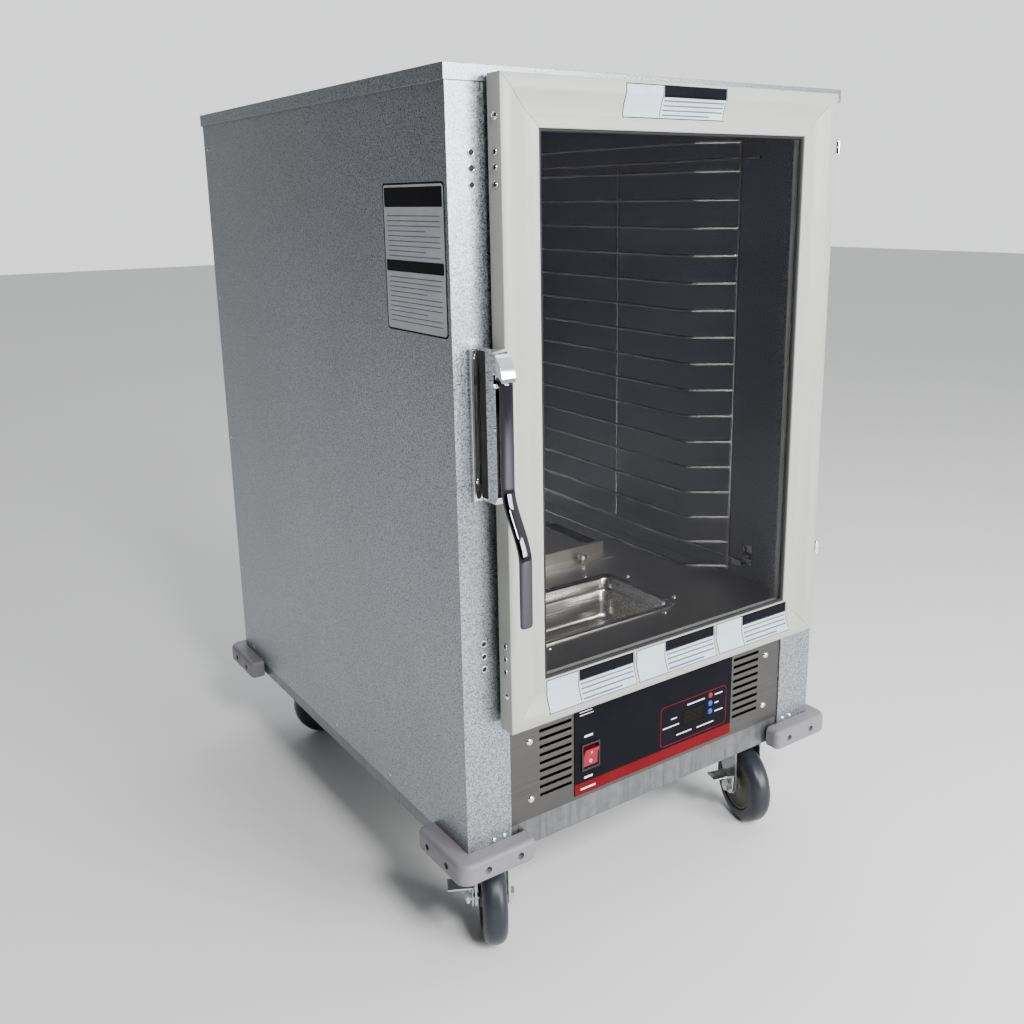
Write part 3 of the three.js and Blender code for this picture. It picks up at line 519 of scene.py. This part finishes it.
def hole_plugs(name, body, places, normal, radius):
    """Open rivet nuts: a rounded bright flange round a flat black disc that paints the shade in the
    nut's hole.
    """
    rims, hole_shades = Shape(), Shape()
    shares = [(0.66, 0.05), (0.68, 0.8), (0.80, 1.0), (0.93, 0.8), (1.0, 0.05)]
    section = [(r * radius, h) for r, h in shares]
    # The hollow profile is a flat black disc 0.12 mm proud: painted shade, not a real hole.
    hollow = [(0.05, 0.12), (0.66 * radius, 0.12), (0.70 * radius, 0.02)]
    for place in places:
        ring = turned(section, place, normal, 24)
        rims.add(ring.vertices, ring.faces)
        hole_shades.lathe(hollow, place, normal, 20)
    rims.finish(name, "zinc", body, "chrome")
    hole_shades.finish(name + "_hollows", "rubber", body, "chrome")


def add_jamb_fasteners():
    hole_plugs("jamb_hole_plugs", "cabinet", [at(-257, 0, z) for z in PLUG_HEIGHTS], -Y, 4.2)
    door_side = box_mm("door_stile_latch")[0][0]
    side_holes = [at(door_side, -20, z) for z in PLUG_HEIGHTS]
    hole_plugs("door_side_plugs", "door", side_holes, -X, 3.8)
    side_screws = [at(door_side, -20, z) for z in (350, 960)]
    screw_heads("door_side_screws", "door", side_screws, -X, 4.4, 2.0)
    panel = box_mm("control_panel")[0][1]
    corners = [at(side * x, panel, z) for side in (-1, 1) for x, z in ((197, 270), (196, 195))]
    screw_heads("panel_screws", "cabinet", corners, -Y, 4.6, 2.6)
    jamb = [at(side * x, 0, 163.5) for side in (-1, 1) for x in (236, 250)]
    screw_heads("jamb_screws", "cabinet", jamb, -Y, 3.6, 2.4)


def add_latch_fasteners():
    """The strike plate's screws and the painted shade in its slots, and the latch body's rivet and a
    dark strip that paints the shadow in the gap between the latch body and the strike plate.
    """
    (left, face, _), (right, _, _) = box_mm("strike_plate")
    middle = (left + right) / 2
    strike_screws = [at(middle, face, z) for z in (727, 596)]
    screw_heads("strike_screws", "cabinet", strike_screws, -Y, 3.0, 0.8)
    # Flat black patches on the strike plate paint the shade inside its slots.
    slots = Shape()
    for z in (703, 581):
        slots.prism(rounded(5.4, 9, 2.6), at(middle, face, z), X, Z, 0.08)
    slots.finish("strike_slot_shades", "rubber", "cabinet", "chrome")
    latch_side = box_mm("latch_body")[0][0]
    screw_heads("latch_pivot_rivet", "door", [at(latch_side, -35, 656)], -X, 2.4, 1.0)
    # A thin black strip on the latch body's side is a painted shadow of the gap next to the strike
    # plate.
    gap_shadow = Shape().prism(rounded(10.4, 155, 1.5), at(latch_side, -14.6, 656.5), -Y, Z, 0.5)
    gap_shadow.finish("latch_gap_shadow_strip", "rubber", "door", "rubber")


def add_shell_fasteners():
    """The rivets along the sides and the back, and the screws in the hinge leaves."""
    half, back, _ = box_mm("side_panel_right")[1]
    for side, hand in ((-1, "left"), (1, "right")):
        rows = [at(side * half, y, 168) for y in (190, 351, 513, 675)]
        rows += [at(side * half, 700, z) for z in (300, 520, 740, 960)]
        screw_heads(f"side_rivets_{hand}", "cabinet", rows, side * X, 2.8, 0.9, "zinc")
    heights = (190, 330, 470, 610, 750, 890, 980)
    rows = [at(side * 272, back, z) for side in (-1, 1) for z in heights]
    screw_heads("back_rivets", "cabinet", rows, Y, 2.8, 0.9, "zinc")
    for level, z in HINGE_HEIGHTS.items():
        heads = [at(267, -3, z + dz) for dz in (-16, 0, 16)]
        screw_heads(f"hinge_screws_{level}", "cabinet", heads, -Y, 2.5, 1.0)


# ---- Casters ----


def add_wheels():
    """A tyre and a core for each caster: sections as (radius, distance from the wheel's middle)."""
    half, shoulder, tread = WHEEL["half_width"], WHEEL["shoulder"], WHEEL["tread"]
    arc = [
        (tread - shoulder + shoulder * math.cos(a), half - shoulder + shoulder * math.sin(a))
        for a in (math.radians(d) for d in range(90, -1, -10))
    ]
    side = [(37.2, half - 4), (37.6, half - 1), (39, half), (42, half), *arc]
    tyre = [(r, -across) for r, across in side] + list(reversed(side))
    web = [(5.6, 16.5), (11.5, 16.5), (12.5, 15.6), (13.5, 11.5), (17, 10)]
    web += [(30, 10), (33, 11.5), (34, 13), (36.6, 13)]
    core = [(r, -across) for r, across in web] + list(reversed(web))
    for caster in CASTERS:
        joint = JOINTS["roll_" + caster]
        centre, axis = Vector(joint["pos_m"]), Vector(joint["axis"]).normalized()
        body = "wheel_" + caster
        ring = turned(tyre, centre, axis)
        ring.finish("tyre_" + caster, "tyre", body, replaces=["caster_wheel_" + caster])
        turned(core, centre, axis).finish("wheel_core_" + caster, "core", body, "tyre")


def turned(profile, centre, axis, sides=72):
    """A closed (radius, height) section in millimetres turned round an axis."""
    across = axis.orthogonal().normalized()
    other = axis.cross(across).normalized()
    rings = []
    for i in range(sides):
        angle = 2 * math.pi * i / sides
        spoke = across * math.cos(angle) + other * math.sin(angle)
        rings.append([centre + axis * (h * MM) + spoke * (r * MM) for r, h in profile])
    return Shape().loft(rings, closed=True)


# ---- Bumpers ----


def bumper_outline(inset):
    """The plan of a corner bumper at the front left, drawn in by inset on its outer edges."""
    arm, reach, corner, tip = BUMPER["arm"], BUMPER["proud"], BUMPER["corner"], BUMPER["tip"]
    points = [(0, 0)]

    def arc(u, v, radius, start, stop, steps):
        for i in range(steps + 1):
            angle = math.radians(start + (stop - start) * i / steps)
            spoke = radius - inset
            points.append((u + spoke * math.cos(angle), v + spoke * math.sin(angle)))

    points.append((0, arm - inset))
    arc(-reach + tip, arm - tip, tip, 90, 180, 8)
    arc(-reach + corner, -reach + corner, corner, 180, 270, 12)
    arc(arm - tip, -reach + tip, tip, 270, 360, 8)
    points.append((arm - inset, 0))
    return points


def add_bumpers():
    edge, proud = BUMPER["edge"], BUMPER["proud"] * MM
    for name in CASTERS:
        low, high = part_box("bumper_" + name)
        end, hand = name.split("_")
        sx = -1 if hand == "left" else 1
        sy = -1 if end == "front" else 1
        corner_x = (high.x if sx > 0 else low.x) - sx * proud
        corner_y = (high.y if sy > 0 else low.y) - sy * proud
        rings = []
        for degrees in range(0, 91, 15):
            angle = math.radians(degrees)
            height = low.z + edge * MM * (1 - math.cos(angle))
            rings.append((edge * (1 - math.sin(angle)), height))
        rings += [(inset, low.z + high.z - z) for inset, z in reversed(rings)]
        placed = []
        for inset, z in rings:
            plan = bumper_outline(inset)
            ring = [Vector((corner_x - sx * u * MM, corner_y - sy * v * MM, z)) for u, v in plan]
            placed.append(ring if sx == sy else list(reversed(ring)))
        bar = Shape().loft(placed).finish(
            "bumper_cover_" + name, "bumper", "cabinet", "bumper", replaces=["bumper_" + name]
        )
        cut_bumper_holes(bar, corner_x, corner_y, sx, sy, (low.z + high.z) / 2)


def cut_bumper_holes(bar, corner_x, corner_y, sx, sy, z):
    """Two counterbored screw holes in each arm, with a screw head at the bottom of each."""
    holes, heads = Shape(), Shape()
    face = BUMPER["proud"] * MM
    hole = [(4.4, -9), (4.4, 2)]
    head = [(0.01, -8.2), (0.9, -8.2), (1.1, -7.2), (3.4, -7.6), (4.0, -8.9)]
    for along in BUMPER["screws"]:
        for place, normal in (
            (Vector((corner_x - sx * along * MM, corner_y + sy * face, z)), Vector((0, sy, 0))),
            (Vector((corner_x + sx * face, corner_y - sy * along * MM, z)), Vector((sx, 0, 0))),
        ):
            holes.lathe(hole, place, normal, 24)
            heads.lathe(head, place, normal, 20)
    tool = holes.finish("tool", "bumper", "cabinet")
    cut = bar.modifiers.new("screw_holes", "BOOLEAN")
    cut.operation = "DIFFERENCE"
    cut.object = tool
    cut.solver = "EXACT"
    with bpy.context.temp_override(object=bar, active_object=bar, selected_objects=[bar]):
        bpy.ops.object.modifier_apply(modifier=cut.name)
    bpy.data.objects.remove(tool)
    bar.data.set_sharp_from_angle(angle=math.radians(SMOOTH_ANGLE))
    bar.modifiers.new("even_normals", "WEIGHTED_NORMAL").keep_sharp = True
    heads.finish("screws_in_" + bar.name, "zinc", "cabinet", "zinc")


# ---- Wire slides ----


def add_wire_slides():
    """Runners bent in from two posts by the wall, with rails and a middle wire behind them."""
    wall, runner, flare = SLIDE["wall"], SLIDE["runner"], SLIDE["flare"]
    front, rear = SLIDE["posts"]
    middle = (front + rear) / 2
    bottom_rail, top_rail = SLIDE["rails"]
    weld = [(0.4, -3.4), (2.2, -2.6), (2.9, 0), (2.2, 2.6), (0.4, 3.4)]
    for side, hand in ((-1, "left"), (1, "right")):
        low, high = box_mm("wire_slides_" + hand)
        lowest, top = low[2] + 5, high[2]
        shape = Shape()
        for i in range(RUNNER_COUNT):
            z = lowest + i * RUNNER_PITCH
            corners = [
                at(side * (wall - 1), front, z),
                at(side * runner, front + flare, z),
                at(side * runner, rear - flare, z),
                at(side * (wall - 1), rear, z),
            ]
            shape.tube(filleted(corners, 26), 2.4, 12)
        for y in (front, rear):
            shape.tube([at(side * wall, y, low[2]), at(side * wall, y, top)], 3, 16)
        for z in (bottom_rail, top_rail):
            shape.tube([at(side * wall, front - 36, z), at(side * wall, rear + 22, z)], 2.5, 12)
        shape.tube([at(side * wall, middle, z) for z in (bottom_rail, top_rail)], 2.5, 12)
        for i in range(RUNNER_COUNT):
            z = lowest + i * RUNNER_PITCH
            for y in (front + 2.4, rear - 2.4):
                shape.lathe(weld, at(side * (wall - 2.4), y, z), Z, 10)
        shape.finish("wire_rack_" + hand, "wire", "cabinet", replaces=["wire_slides_" + hand])


# ---- Deck ----


def add_water_pan():
    """A pressed pan: a flat rim with a rolled edge, a stepped wall and a domed floor."""
    low, high = box_mm("water_pan")
    middle = ((low[0] + high[0]) / 2, (low[1] + high[1]) / 2)
    width, depth = high[0] - low[0], high[1] - low[1]
    rim, floor = high[2], low[2]
    sheet = 0.9
    # Each row is the distance in from the rim's edge, the height and the corners' radius.
    inner = [
        (0, rim - 1.9, 16),
        (0, rim - 0.7, 16),
        (0.8, rim - 0.1, 15.5),
        (2.0, rim, 15),
        (3.4, rim - 0.5, 14.5),
        (8.2, rim - 0.5, 13),
        (10.2, rim - 1.6, 14),
        (11.0, rim - 4.0, 15),
        (12.6, rim - 16, 16),
        (14.8, rim - 17.4, 17),
        (16.0, rim - 20, 17),
        (19.0, floor + 10, 19),
        (20.4, floor + 4, 20),
        (24, floor + 1.2, 20),
        (32, floor + 0.9, 18),
    ]
    outer = [(1.2, rim - 2.2, 15), (3.8, rim - 1.7, 14)]
    outer += [(inset - 0.4, z - sheet, radius) for inset, z, radius in inner[5:]]
    rings = []
    for inset, z, radius in list(reversed(inner)) + outer:
        outline = rounded(width - 2 * inset, depth - 2 * inset, radius, 8)
        rings.append([at(middle[0] + u, middle[1] + v, z) for u, v in outline])
    pan = Shape().loft(rings)
    pan.finish("pressed_pan", "pressed", "pan", "steel", smooth=50, replaces=["water_pan"])


def add_cover_slot_shades():
    """Flat black patches along both ends of the heater cover's top, painting the shade inside its
    intake slots.
    """
    top = box_mm("heater_cover")[1][2]
    shape = Shape()
    for x in (-168.5, 168.5):
        # Each patch is 0.1 mm thick: painted shade, not an opening.
        shape.prism(rounded(22, 116, 2), at(x, 407, top), X, Y, 0.1)
    shape.finish("cover_slot_shades", "rubber", "cabinet", "steel")


def add_deck_studs():
    """The studs round the water pan, and the heater cover's two thumb screws."""
    top = box_mm("inner_deck")[1][2]
    pairs = ((148, 133), (149, 237), (98, 98), (98, 276))
    studs = [at(side * x, y, top) for x, y in pairs for side in (1, -1)]
    screw_heads("pan_studs", "cabinet", studs, Z, 3.4, 3.0)
    knob = [(2.5, 0), (2.5, 3), (7, 3.2), (7.4, 4), (7.4, 9), (6.8, 9.8), (0.1, 9.8)]
    shape = Shape()
    for x in (-134, 134):
        shape.lathe(knob, at(x, 330, top + 2.2), Z, 24)
    shape.finish("cover_thumb_screws", "zinc", "cabinet")


# ---- Latch lever ----


def lever_ring(z, scale=1.0, arc=None):
    """The lever's rounded section at a height: arc trims it to a circle round the pivot."""
    pivot_y, pivot_z, top, tip = LEVER["pivot_y"], LEVER["pivot_z"], LEVER["top"], LEVER["tip"]
    bend_top, bend_bottom = LEVER["bend"]
    straight, grip = LEVER["straight_y"], LEVER["grip_y"]
    down = (top - z) / (top - tip)
    bent = ramp(z, bend_top, bend_bottom)
    ease = bent * bent * (3 - 2 * bent)
    slope = (grip - straight) * 6 * bent * (1 - bent) / (bend_top - bend_bottom)
    middle = straight + (grip - straight) * ease
    half_depth = LEVER["half_depth"] * (1 - LEVER["taper"] * down * down) * scale
    half_width = LEVER["half_width"] * scale
    lean = Vector((1, slope)).normalized()
    # The back is up to half as thick again where the lever lies in the latch body.
    back = 1 + 0.5 * ramp(z, 682, 674) * ramp(z, 560, 590)
    points = []
    for i in range(36):
        angle = 2 * math.pi * i / 36
        c, s = math.cos(angle), math.sin(angle)
        across = math.copysign(abs(c) ** LEVER["side_power"], c) * half_width
        deep = math.copysign(abs(s) ** LEVER["face_power"], s) * half_depth
        if deep > 0:
            deep *= back
        y, height = middle + deep * lean[0], z + deep * lean[1]
        if arc:
            height = pivot_z + math.sqrt(arc * arc - (y - pivot_y) ** 2)
        points.append(at(LEVER["x"] + across, y, height))
    return points


def add_lever():
    """The lever's skin, its tongue into the latch body and its pin."""
    rings = [lever_ring(704, 0.82, 22), lever_ring(704, 0.95, 21.7), lever_ring(704, 1, 20.8)]
    rings += [lever_ring(700 - 3.1 * i) for i in range(80)]
    rings += [lever_ring(453.6, 0.94), lever_ring(452.6, 0.84), lever_ring(452.1, 0.68)]
    shape = Shape().loft(rings)
    shape.box(at(-253.6, -43, 679), at(-247.8, -28, 697))
    shape.lathe([(2.4, -6), (2.4, 6)], at(-250.7, LEVER["pivot_y"], LEVER["pivot_z"]), X, 20)
    # The lever finish's near-black base colour paints a dark reflection.
    shape.finish("lever_grip", "lever", "latch_lever", "chrome", replaces=["latch_handle"])


# ---- Door trim ----


def add_glazing_seal():
    upper, lower = box_mm("door_rail_top"), box_mm("door_rail_bottom")
    left, right = upper[0][0] + STILE_WIDTH, upper[1][0] - STILE_WIDTH
    bottom, top = lower[1][2], upper[0][2]
    glass = box_mm("door_glass")[0][1]
    middle = at((left + right) / 2, glass, (bottom + top) / 2)
    width, height = right - left, top - bottom
    bands = [(0.2, 0.0), (0.2, 2.4), (1.4, 3.4), (2.8, 2.6), (3.6, 0.0)]
    rings = []
    for inset, proud in bands:
        outline = rounded(width - 2 * inset, height - 2 * inset, 1.2, 2)
        front = middle - Y * (proud * MM)
        rings.append([front + X * (u * MM) + Z * (v * MM) for u, v in outline])
    Shape().loft(rings, closed=True).finish("glazing_seal", "rubber", "door", smooth=60)


def rail_face(u):
    """How far forward the rail's face is, u millimetres in from its outer edge."""
    flat, hollow, bead = 13, 35, 37
    front, depth = -31, 6.4
    if u < flat:
        return front
    if u < hollow:
        return front + depth * math.sin((u - flat) / (hollow - flat) * math.pi / 2)
    if u < bead:
        return front + depth - 0.4 * (u - hollow)
    return -25.4 + 0.6 * (u - bead) / 12


def rail_film(name, rail, x0, x1, u0, u1, finish, lift):
    """A film that follows the face of the top or bottom rail, lift millimetres off it."""
    low, high = box_mm(rail)
    top = rail.endswith("top")
    steps = 14
    front, back = [], []
    for i in range(steps + 1):
        u = u0 + (u1 - u0) * i / steps
        z = high[2] - u if top else low[2] + u
        y = rail_face(u) - lift
        front.append((y, z))
        back.append((y + PRINT, z))
    profile = front + list(reversed(back))
    rings = [[at(x, y, z) for y, z in profile] for x in (x0, x1)]
    if top:
        rings.reverse()
    Shape().loft(rings).finish(name, finish, "door", "door_frame")


def add_door_labels():
    """Plates with a plain border, a dark strip and plain dashes, and no lettering."""
    rail_label("top", "door_rail_top", -86, 60, 3, 37)
    width, gap, start = 129, 3.5, -191
    for i, place in enumerate(("left", "middle", "right")):
        x0 = start + i * (width + gap)
        rail_label(place, "door_rail_bottom", x0, x0 + width, 9.5, 48.6)


def rail_label(place, rail, x0, x1, u0, u1):
    """One plate from x0 to x1, and from u0 to u1 in from the rail's outer edge."""
    label = "label_" + place
    rail_film(label + "_border", rail, x0, x1, u0, u1, "label_dark", 0.15)
    rail_film(label + "_field", rail, x0 + 1, x1 - 1, u0 + 1, u1 - 1, "label", 0.30)
    words = x0 + (x1 - x0) * 0.36
    tall = u1 - u0
    top = rail.endswith("top")

    def down(share):
        """How far in from the rail's outer edge a line that far down the label lies."""
        return u0 + tall * share if top else u1 - tall * share

    edge = words - 1.6
    rail_film(label + "_divider", rail, edge, edge + 1, u0 + 1.5, u1 - 1.5, "label_dark", 0.45)
    strip = sorted((down(0.02), down(0.36)))
    rail_film(label + "_heading", rail, words, x1 - 1.5, *strip, "label_dark", 0.45)
    for row, share in enumerate((0.44, 0.58, 0.72, 0.86)):
        end = x1 - (3 if row < 3 else 22)
        line = sorted((down(share), down(share + 0.045)))
        rail_film(f"{label}_line_{row + 1}", rail, words + 2, end, *line, "label_line", 0.45)


def add_side_label():
    """A plate with two dark headings and rows of plain dashes, and no lettering."""
    u, v = -Y, Z
    film, ink = 0.25, 0.1
    width, height, border = 131, 155, 2
    dash_length, dash_pitch = 112, 5.2
    centre = at(box_mm("side_panel_left")[0][0], 71.5, 822.5)
    outer = rounded(width, height, 5)
    inner = rounded(width - 2 * border, height - 2 * border, 4)
    edge = Shape().prism(outer, centre, u, v, film)
    edge.finish("side_label_border", "label_dark", "cabinet", "shell")
    plate = centre - X * (film * MM)
    field = Shape().prism(inner, plate, u, v, PRINT)
    field.finish("side_label_field", "label_silver", "cabinet", "shell")
    face = plate - X * (PRINT * MM)
    headings = Shape()
    for tall, dz in ((20, 63), (12, -8)):
        headings.prism(rounded(123, tall, 1.5), face + Z * (dz * MM), u, v, ink)
    headings.finish("side_label_headings", "label_dark", "cabinet", "shell")
    lines = Shape()
    for first, count in ((44, 9), (-20, 10)):
        for row in range(count):
            short = 30 if row % 4 == 3 else 0
            dash = rounded(dash_length - short, 0.9, 0.3, 2)
            place = face + Z * ((first - row * dash_pitch) * MM) + Y * (short / 2 * MM)
            lines.prism(dash, place, u, v, ink)
    lines.finish("side_label_lines", "label_line", "cabinet", "shell")


# ---- Controls ----


def add_overlay_print():
    """The overlay's red band and red outline, and short plain dashes, each as thick as a print."""
    (left, face, bottom), (right, _, _) = box_mm("control_overlay")
    margin, tall = 0.2, 14.8
    middle = bottom + margin + tall / 2
    plan = rounded(right - left - 2 * margin, tall, 0.4, 1)
    band = Shape().prism(plan, at((left + right) / 2, face, middle), X, Z, PRINT)
    band.finish("overlay_red_band", "overlay_red", "cabinet", "overlay")
    width, height, line = 117, 56, 0.9
    outer = rounded(width, height, 6)
    inner = rounded(width - 2 * line, height - 2 * line, 5.2)
    outline = Shape().frame(outer, inner, at(64, face, 221), X, Z, PRINT)
    outline.finish("overlay_outline", "overlay_line", "cabinet", "overlay")
    # Each dash's x, z, length and height.
    marks = [(108, 240.5, 14, 1.6), (104.5, 228.4, 7, 1.6), (108.5, 216.4, 15, 1.6)]
    marks += [(67, 240.4, 31, 1.8), (28.5, 228.4, 10, 1.5), (23.5, 218.5, 28, 1.5)]
    marks += [(46.5, 203.2, 27, 1.5), (84.5, 202.6, 30, 1.5)]
    marks += [(-111, 250.5, 13, 2.6), (-111.5, 195.5, 13, 2.6), (-112, 181.4, 23, 2.4)]
    marks += [(-124.5 + long / 2, z, long, 1.0) for z, long in ((288, 24), (284, 19), (280, 21))]
    dashes = Shape()
    for x, z, length, height in marks:
        ground = face - (PRINT if z < middle + tall / 2 else 0)
        dashes.prism(rounded(length, height, 0.5, 2), at(x, ground, z), X, Z, PRINT)
    dashes.finish("overlay_dashes", "print_white", "cabinet", "overlay")


def add_display_digits():
    """Three unlit seven-segment digits behind the window."""
    low, high = box_mm("display_window")
    middle_x, middle_z = (low[0] + high[0]) / 2, (low[2] + high[2]) / 2
    pitch, rise, reach = 11, 6.4, 3.4
    upright, level, thick = 5.6, 5.2, 1.0
    bars = [(0, dz, level, thick) for dz in (rise, 0, -rise)]
    bars += [(dx, dz, thick, upright) for dz in (rise / 2, -rise / 2) for dx in (-reach, reach)]
    shape = Shape()
    for digit in (-1, 0, 1):
        x = middle_x + digit * pitch
        for dx, dz, width, height in bars:
            place = at(x + dx, low[1], middle_z + dz)
            shape.prism(rounded(width, height, 0.45, 2), place, X, Z, 0.06)
    shape.finish("display_digits", "segment", "cabinet", "display")


def add_buttons():
    """A round cap for each button, with a gently domed face."""
    colors = {"mode": "red_plastic", "up": "blue_plastic", "down": "blue_plastic"}
    for name, finish in colors.items():
        low, high = box_mm("button_" + name)
        x, z = (low[0] + high[0]) / 2, (low[2] + high[2]) / 2
        depth = high[1] - low[1]
        cap = [(0.01, 0), (2.0, 0.10), (3.1, 0.35), (3.7, 0.8), (4.0, 1.5), (4.0, depth)]
        Shape().lathe(cap, at(x, low[1], z), Y, 40).finish(
            "key_cap_" + name, finish, name + "_key", replaces=["button_" + name]
        )


def add_rocker_marks():
    """The rocker's bar and ring marks, on its upper and lower faces."""
    pivot = Vector(JOINTS["power_rock"]["pos_m"])
    tilt = Matrix.Rotation(math.radians(ROCKER["tilt"]), 3, "X")
    half = ROCKER["half_height"]
    lean = math.atan2(ROCKER["crown"], half)
    for name, side in (("on", 1), ("off", -1)):
        v = tilt @ Vector((0, -math.sin(lean) * side, math.cos(lean)))
        middle = pivot + tilt @ (Vector((0, -ROCKER["proud"], side * half / 2)) * MM)
        start = middle + X.cross(v) * (0.05 * MM)
        shape = Shape()
        if name == "on":
            shape.prism(rounded(1.1, 4.6, 0.4, 2), start, X, v, PRINT)
        else:
            shape.frame(rounded(4.2, 4.6, 2.0), rounded(2.6, 3.0, 1.2), start, X, v, PRINT)
        shape.finish("rocker_mark_" + name, "print_white", "power_switch", "red_plastic")


# ---- Stage ----


def add_stage():
    """A plain pale floor."""
    size = 14
    mesh = bpy.data.meshes.new("floor")
    corners = [(-size, -size, 0), (size, -size, 0), (size, size, 0), (-size, size, 0)]
    mesh.from_pydata(corners, [], [(0, 1, 2, 3)])
    floor = bpy.data.objects.new("floor", mesh)
    bpy.context.scene.collection.objects.link(floor)
    paint = Finish("floor_paint", (0.78, 0.78, 0.78), 0.7)
    paint.vary_color(paint.texture("Noise", 3, Detail=3.0), (0.76, 0.76, 0.765), 0.5)
    mesh.materials.append(paint.material)


def add_world():
    """Soft light that is bright on the cabinet's right and dim on its left, and a pale backdrop."""
    bright_side = (0.93, 0.3, 0.2)
    strengths = {"From Min": -0.35, "From Max": 0.55, "To Min": 0.05, "To Max": 1.3}
    backdrop_strength = 1.5
    world = bpy.data.worlds.new("studio")
    world.use_nodes = True
    nodes, links = world.node_tree.nodes, world.node_tree.links
    place = nodes.new("ShaderNodeTexCoord")
    side = nodes.new("ShaderNodeVectorMath")
    side.operation = "DOT_PRODUCT"
    side.inputs[1].default_value = bright_side
    level = nodes.new("ShaderNodeMapRange")
    level.interpolation_type = "SMOOTHSTEP"
    for socket, value in strengths.items():
        level.inputs[socket].default_value = value
    links.new(place.outputs["Generated"], side.inputs[0])
    links.new(side.outputs["Value"], level.inputs["Value"])
    backdrop = nodes.new("ShaderNodeMix")
    backdrop.inputs["B"].default_value = backdrop_strength
    ray = nodes.new("ShaderNodeLightPath")
    links.new(ray.outputs["Is Camera Ray"], backdrop.inputs["Factor"])
    links.new(level.outputs["Result"], backdrop.inputs["A"])
    background = nodes["Background"]
    background.inputs["Color"].default_value = (0.97, 0.98, 1.0, 1)
    links.new(backdrop.outputs["Result"], background.inputs["Strength"])
    bpy.context.scene.world = world


def add_light(name, place, target, power, size):
    """A square soft light of that size in metres and power in watts, aimed at target."""
    lamp = bpy.data.lights.new(name, "AREA")
    lamp.energy = power
    lamp.size = size
    light = bpy.data.objects.new(name, lamp)
    light.location = place
    light.rotation_mode = "QUATERNION"
    light.rotation_quaternion = (Vector(place) - Vector(target)).to_track_quat("Z", "Y")
    bpy.context.scene.collection.objects.link(light)


def add_camera():
    """The camera stands at the cabinet's front left and looks slightly down."""
    stand = at(-811.1, -895.4, 882.4)
    heading, pitch, roll = (math.radians(d) for d in (34.84, -13.73, -0.78))
    level = Matrix.Rotation(-heading, 3, "Z")
    turn = level @ Matrix.Rotation(math.pi / 2 + pitch, 3, "X") @ Matrix.Rotation(roll, 3, "Z")
    lens = bpy.data.cameras.new("camera")
    lens.lens = 36.4
    lens.sensor_width = 36
    lens.shift_x = -0.0204
    lens.shift_y = -0.0592
    camera = bpy.data.objects.new("camera", lens)
    camera.matrix_world = Matrix.Translation(stand) @ turn.to_4x4()
    bpy.context.scene.collection.objects.link(camera)
    bpy.context.scene.camera = camera


add_camera()
add_stage()
add_world()
add_light("key", (0.75, -3.0, 1.35), (-0.1, -0.3, 0.7), 150, 1.4)
add_light("front", (-0.45, -2.2, 2.0), (0, -0.1, 0.45), 70, 0.5)
add_light("top", (0.9, 0.3, 3.4), (0, 0, 0.55), 22, 2.5)
refine_cad_nodes()
add_jamb_fasteners()
add_latch_fasteners()
add_shell_fasteners()
add_wheels()
add_bumpers()
add_wire_slides()
add_water_pan()
add_cover_slot_shades()
add_deck_studs()
add_lever()
add_glazing_seal()
add_door_labels()
add_side_label()
add_overlay_print()
add_display_digits()
add_buttons()
add_rocker_marks()
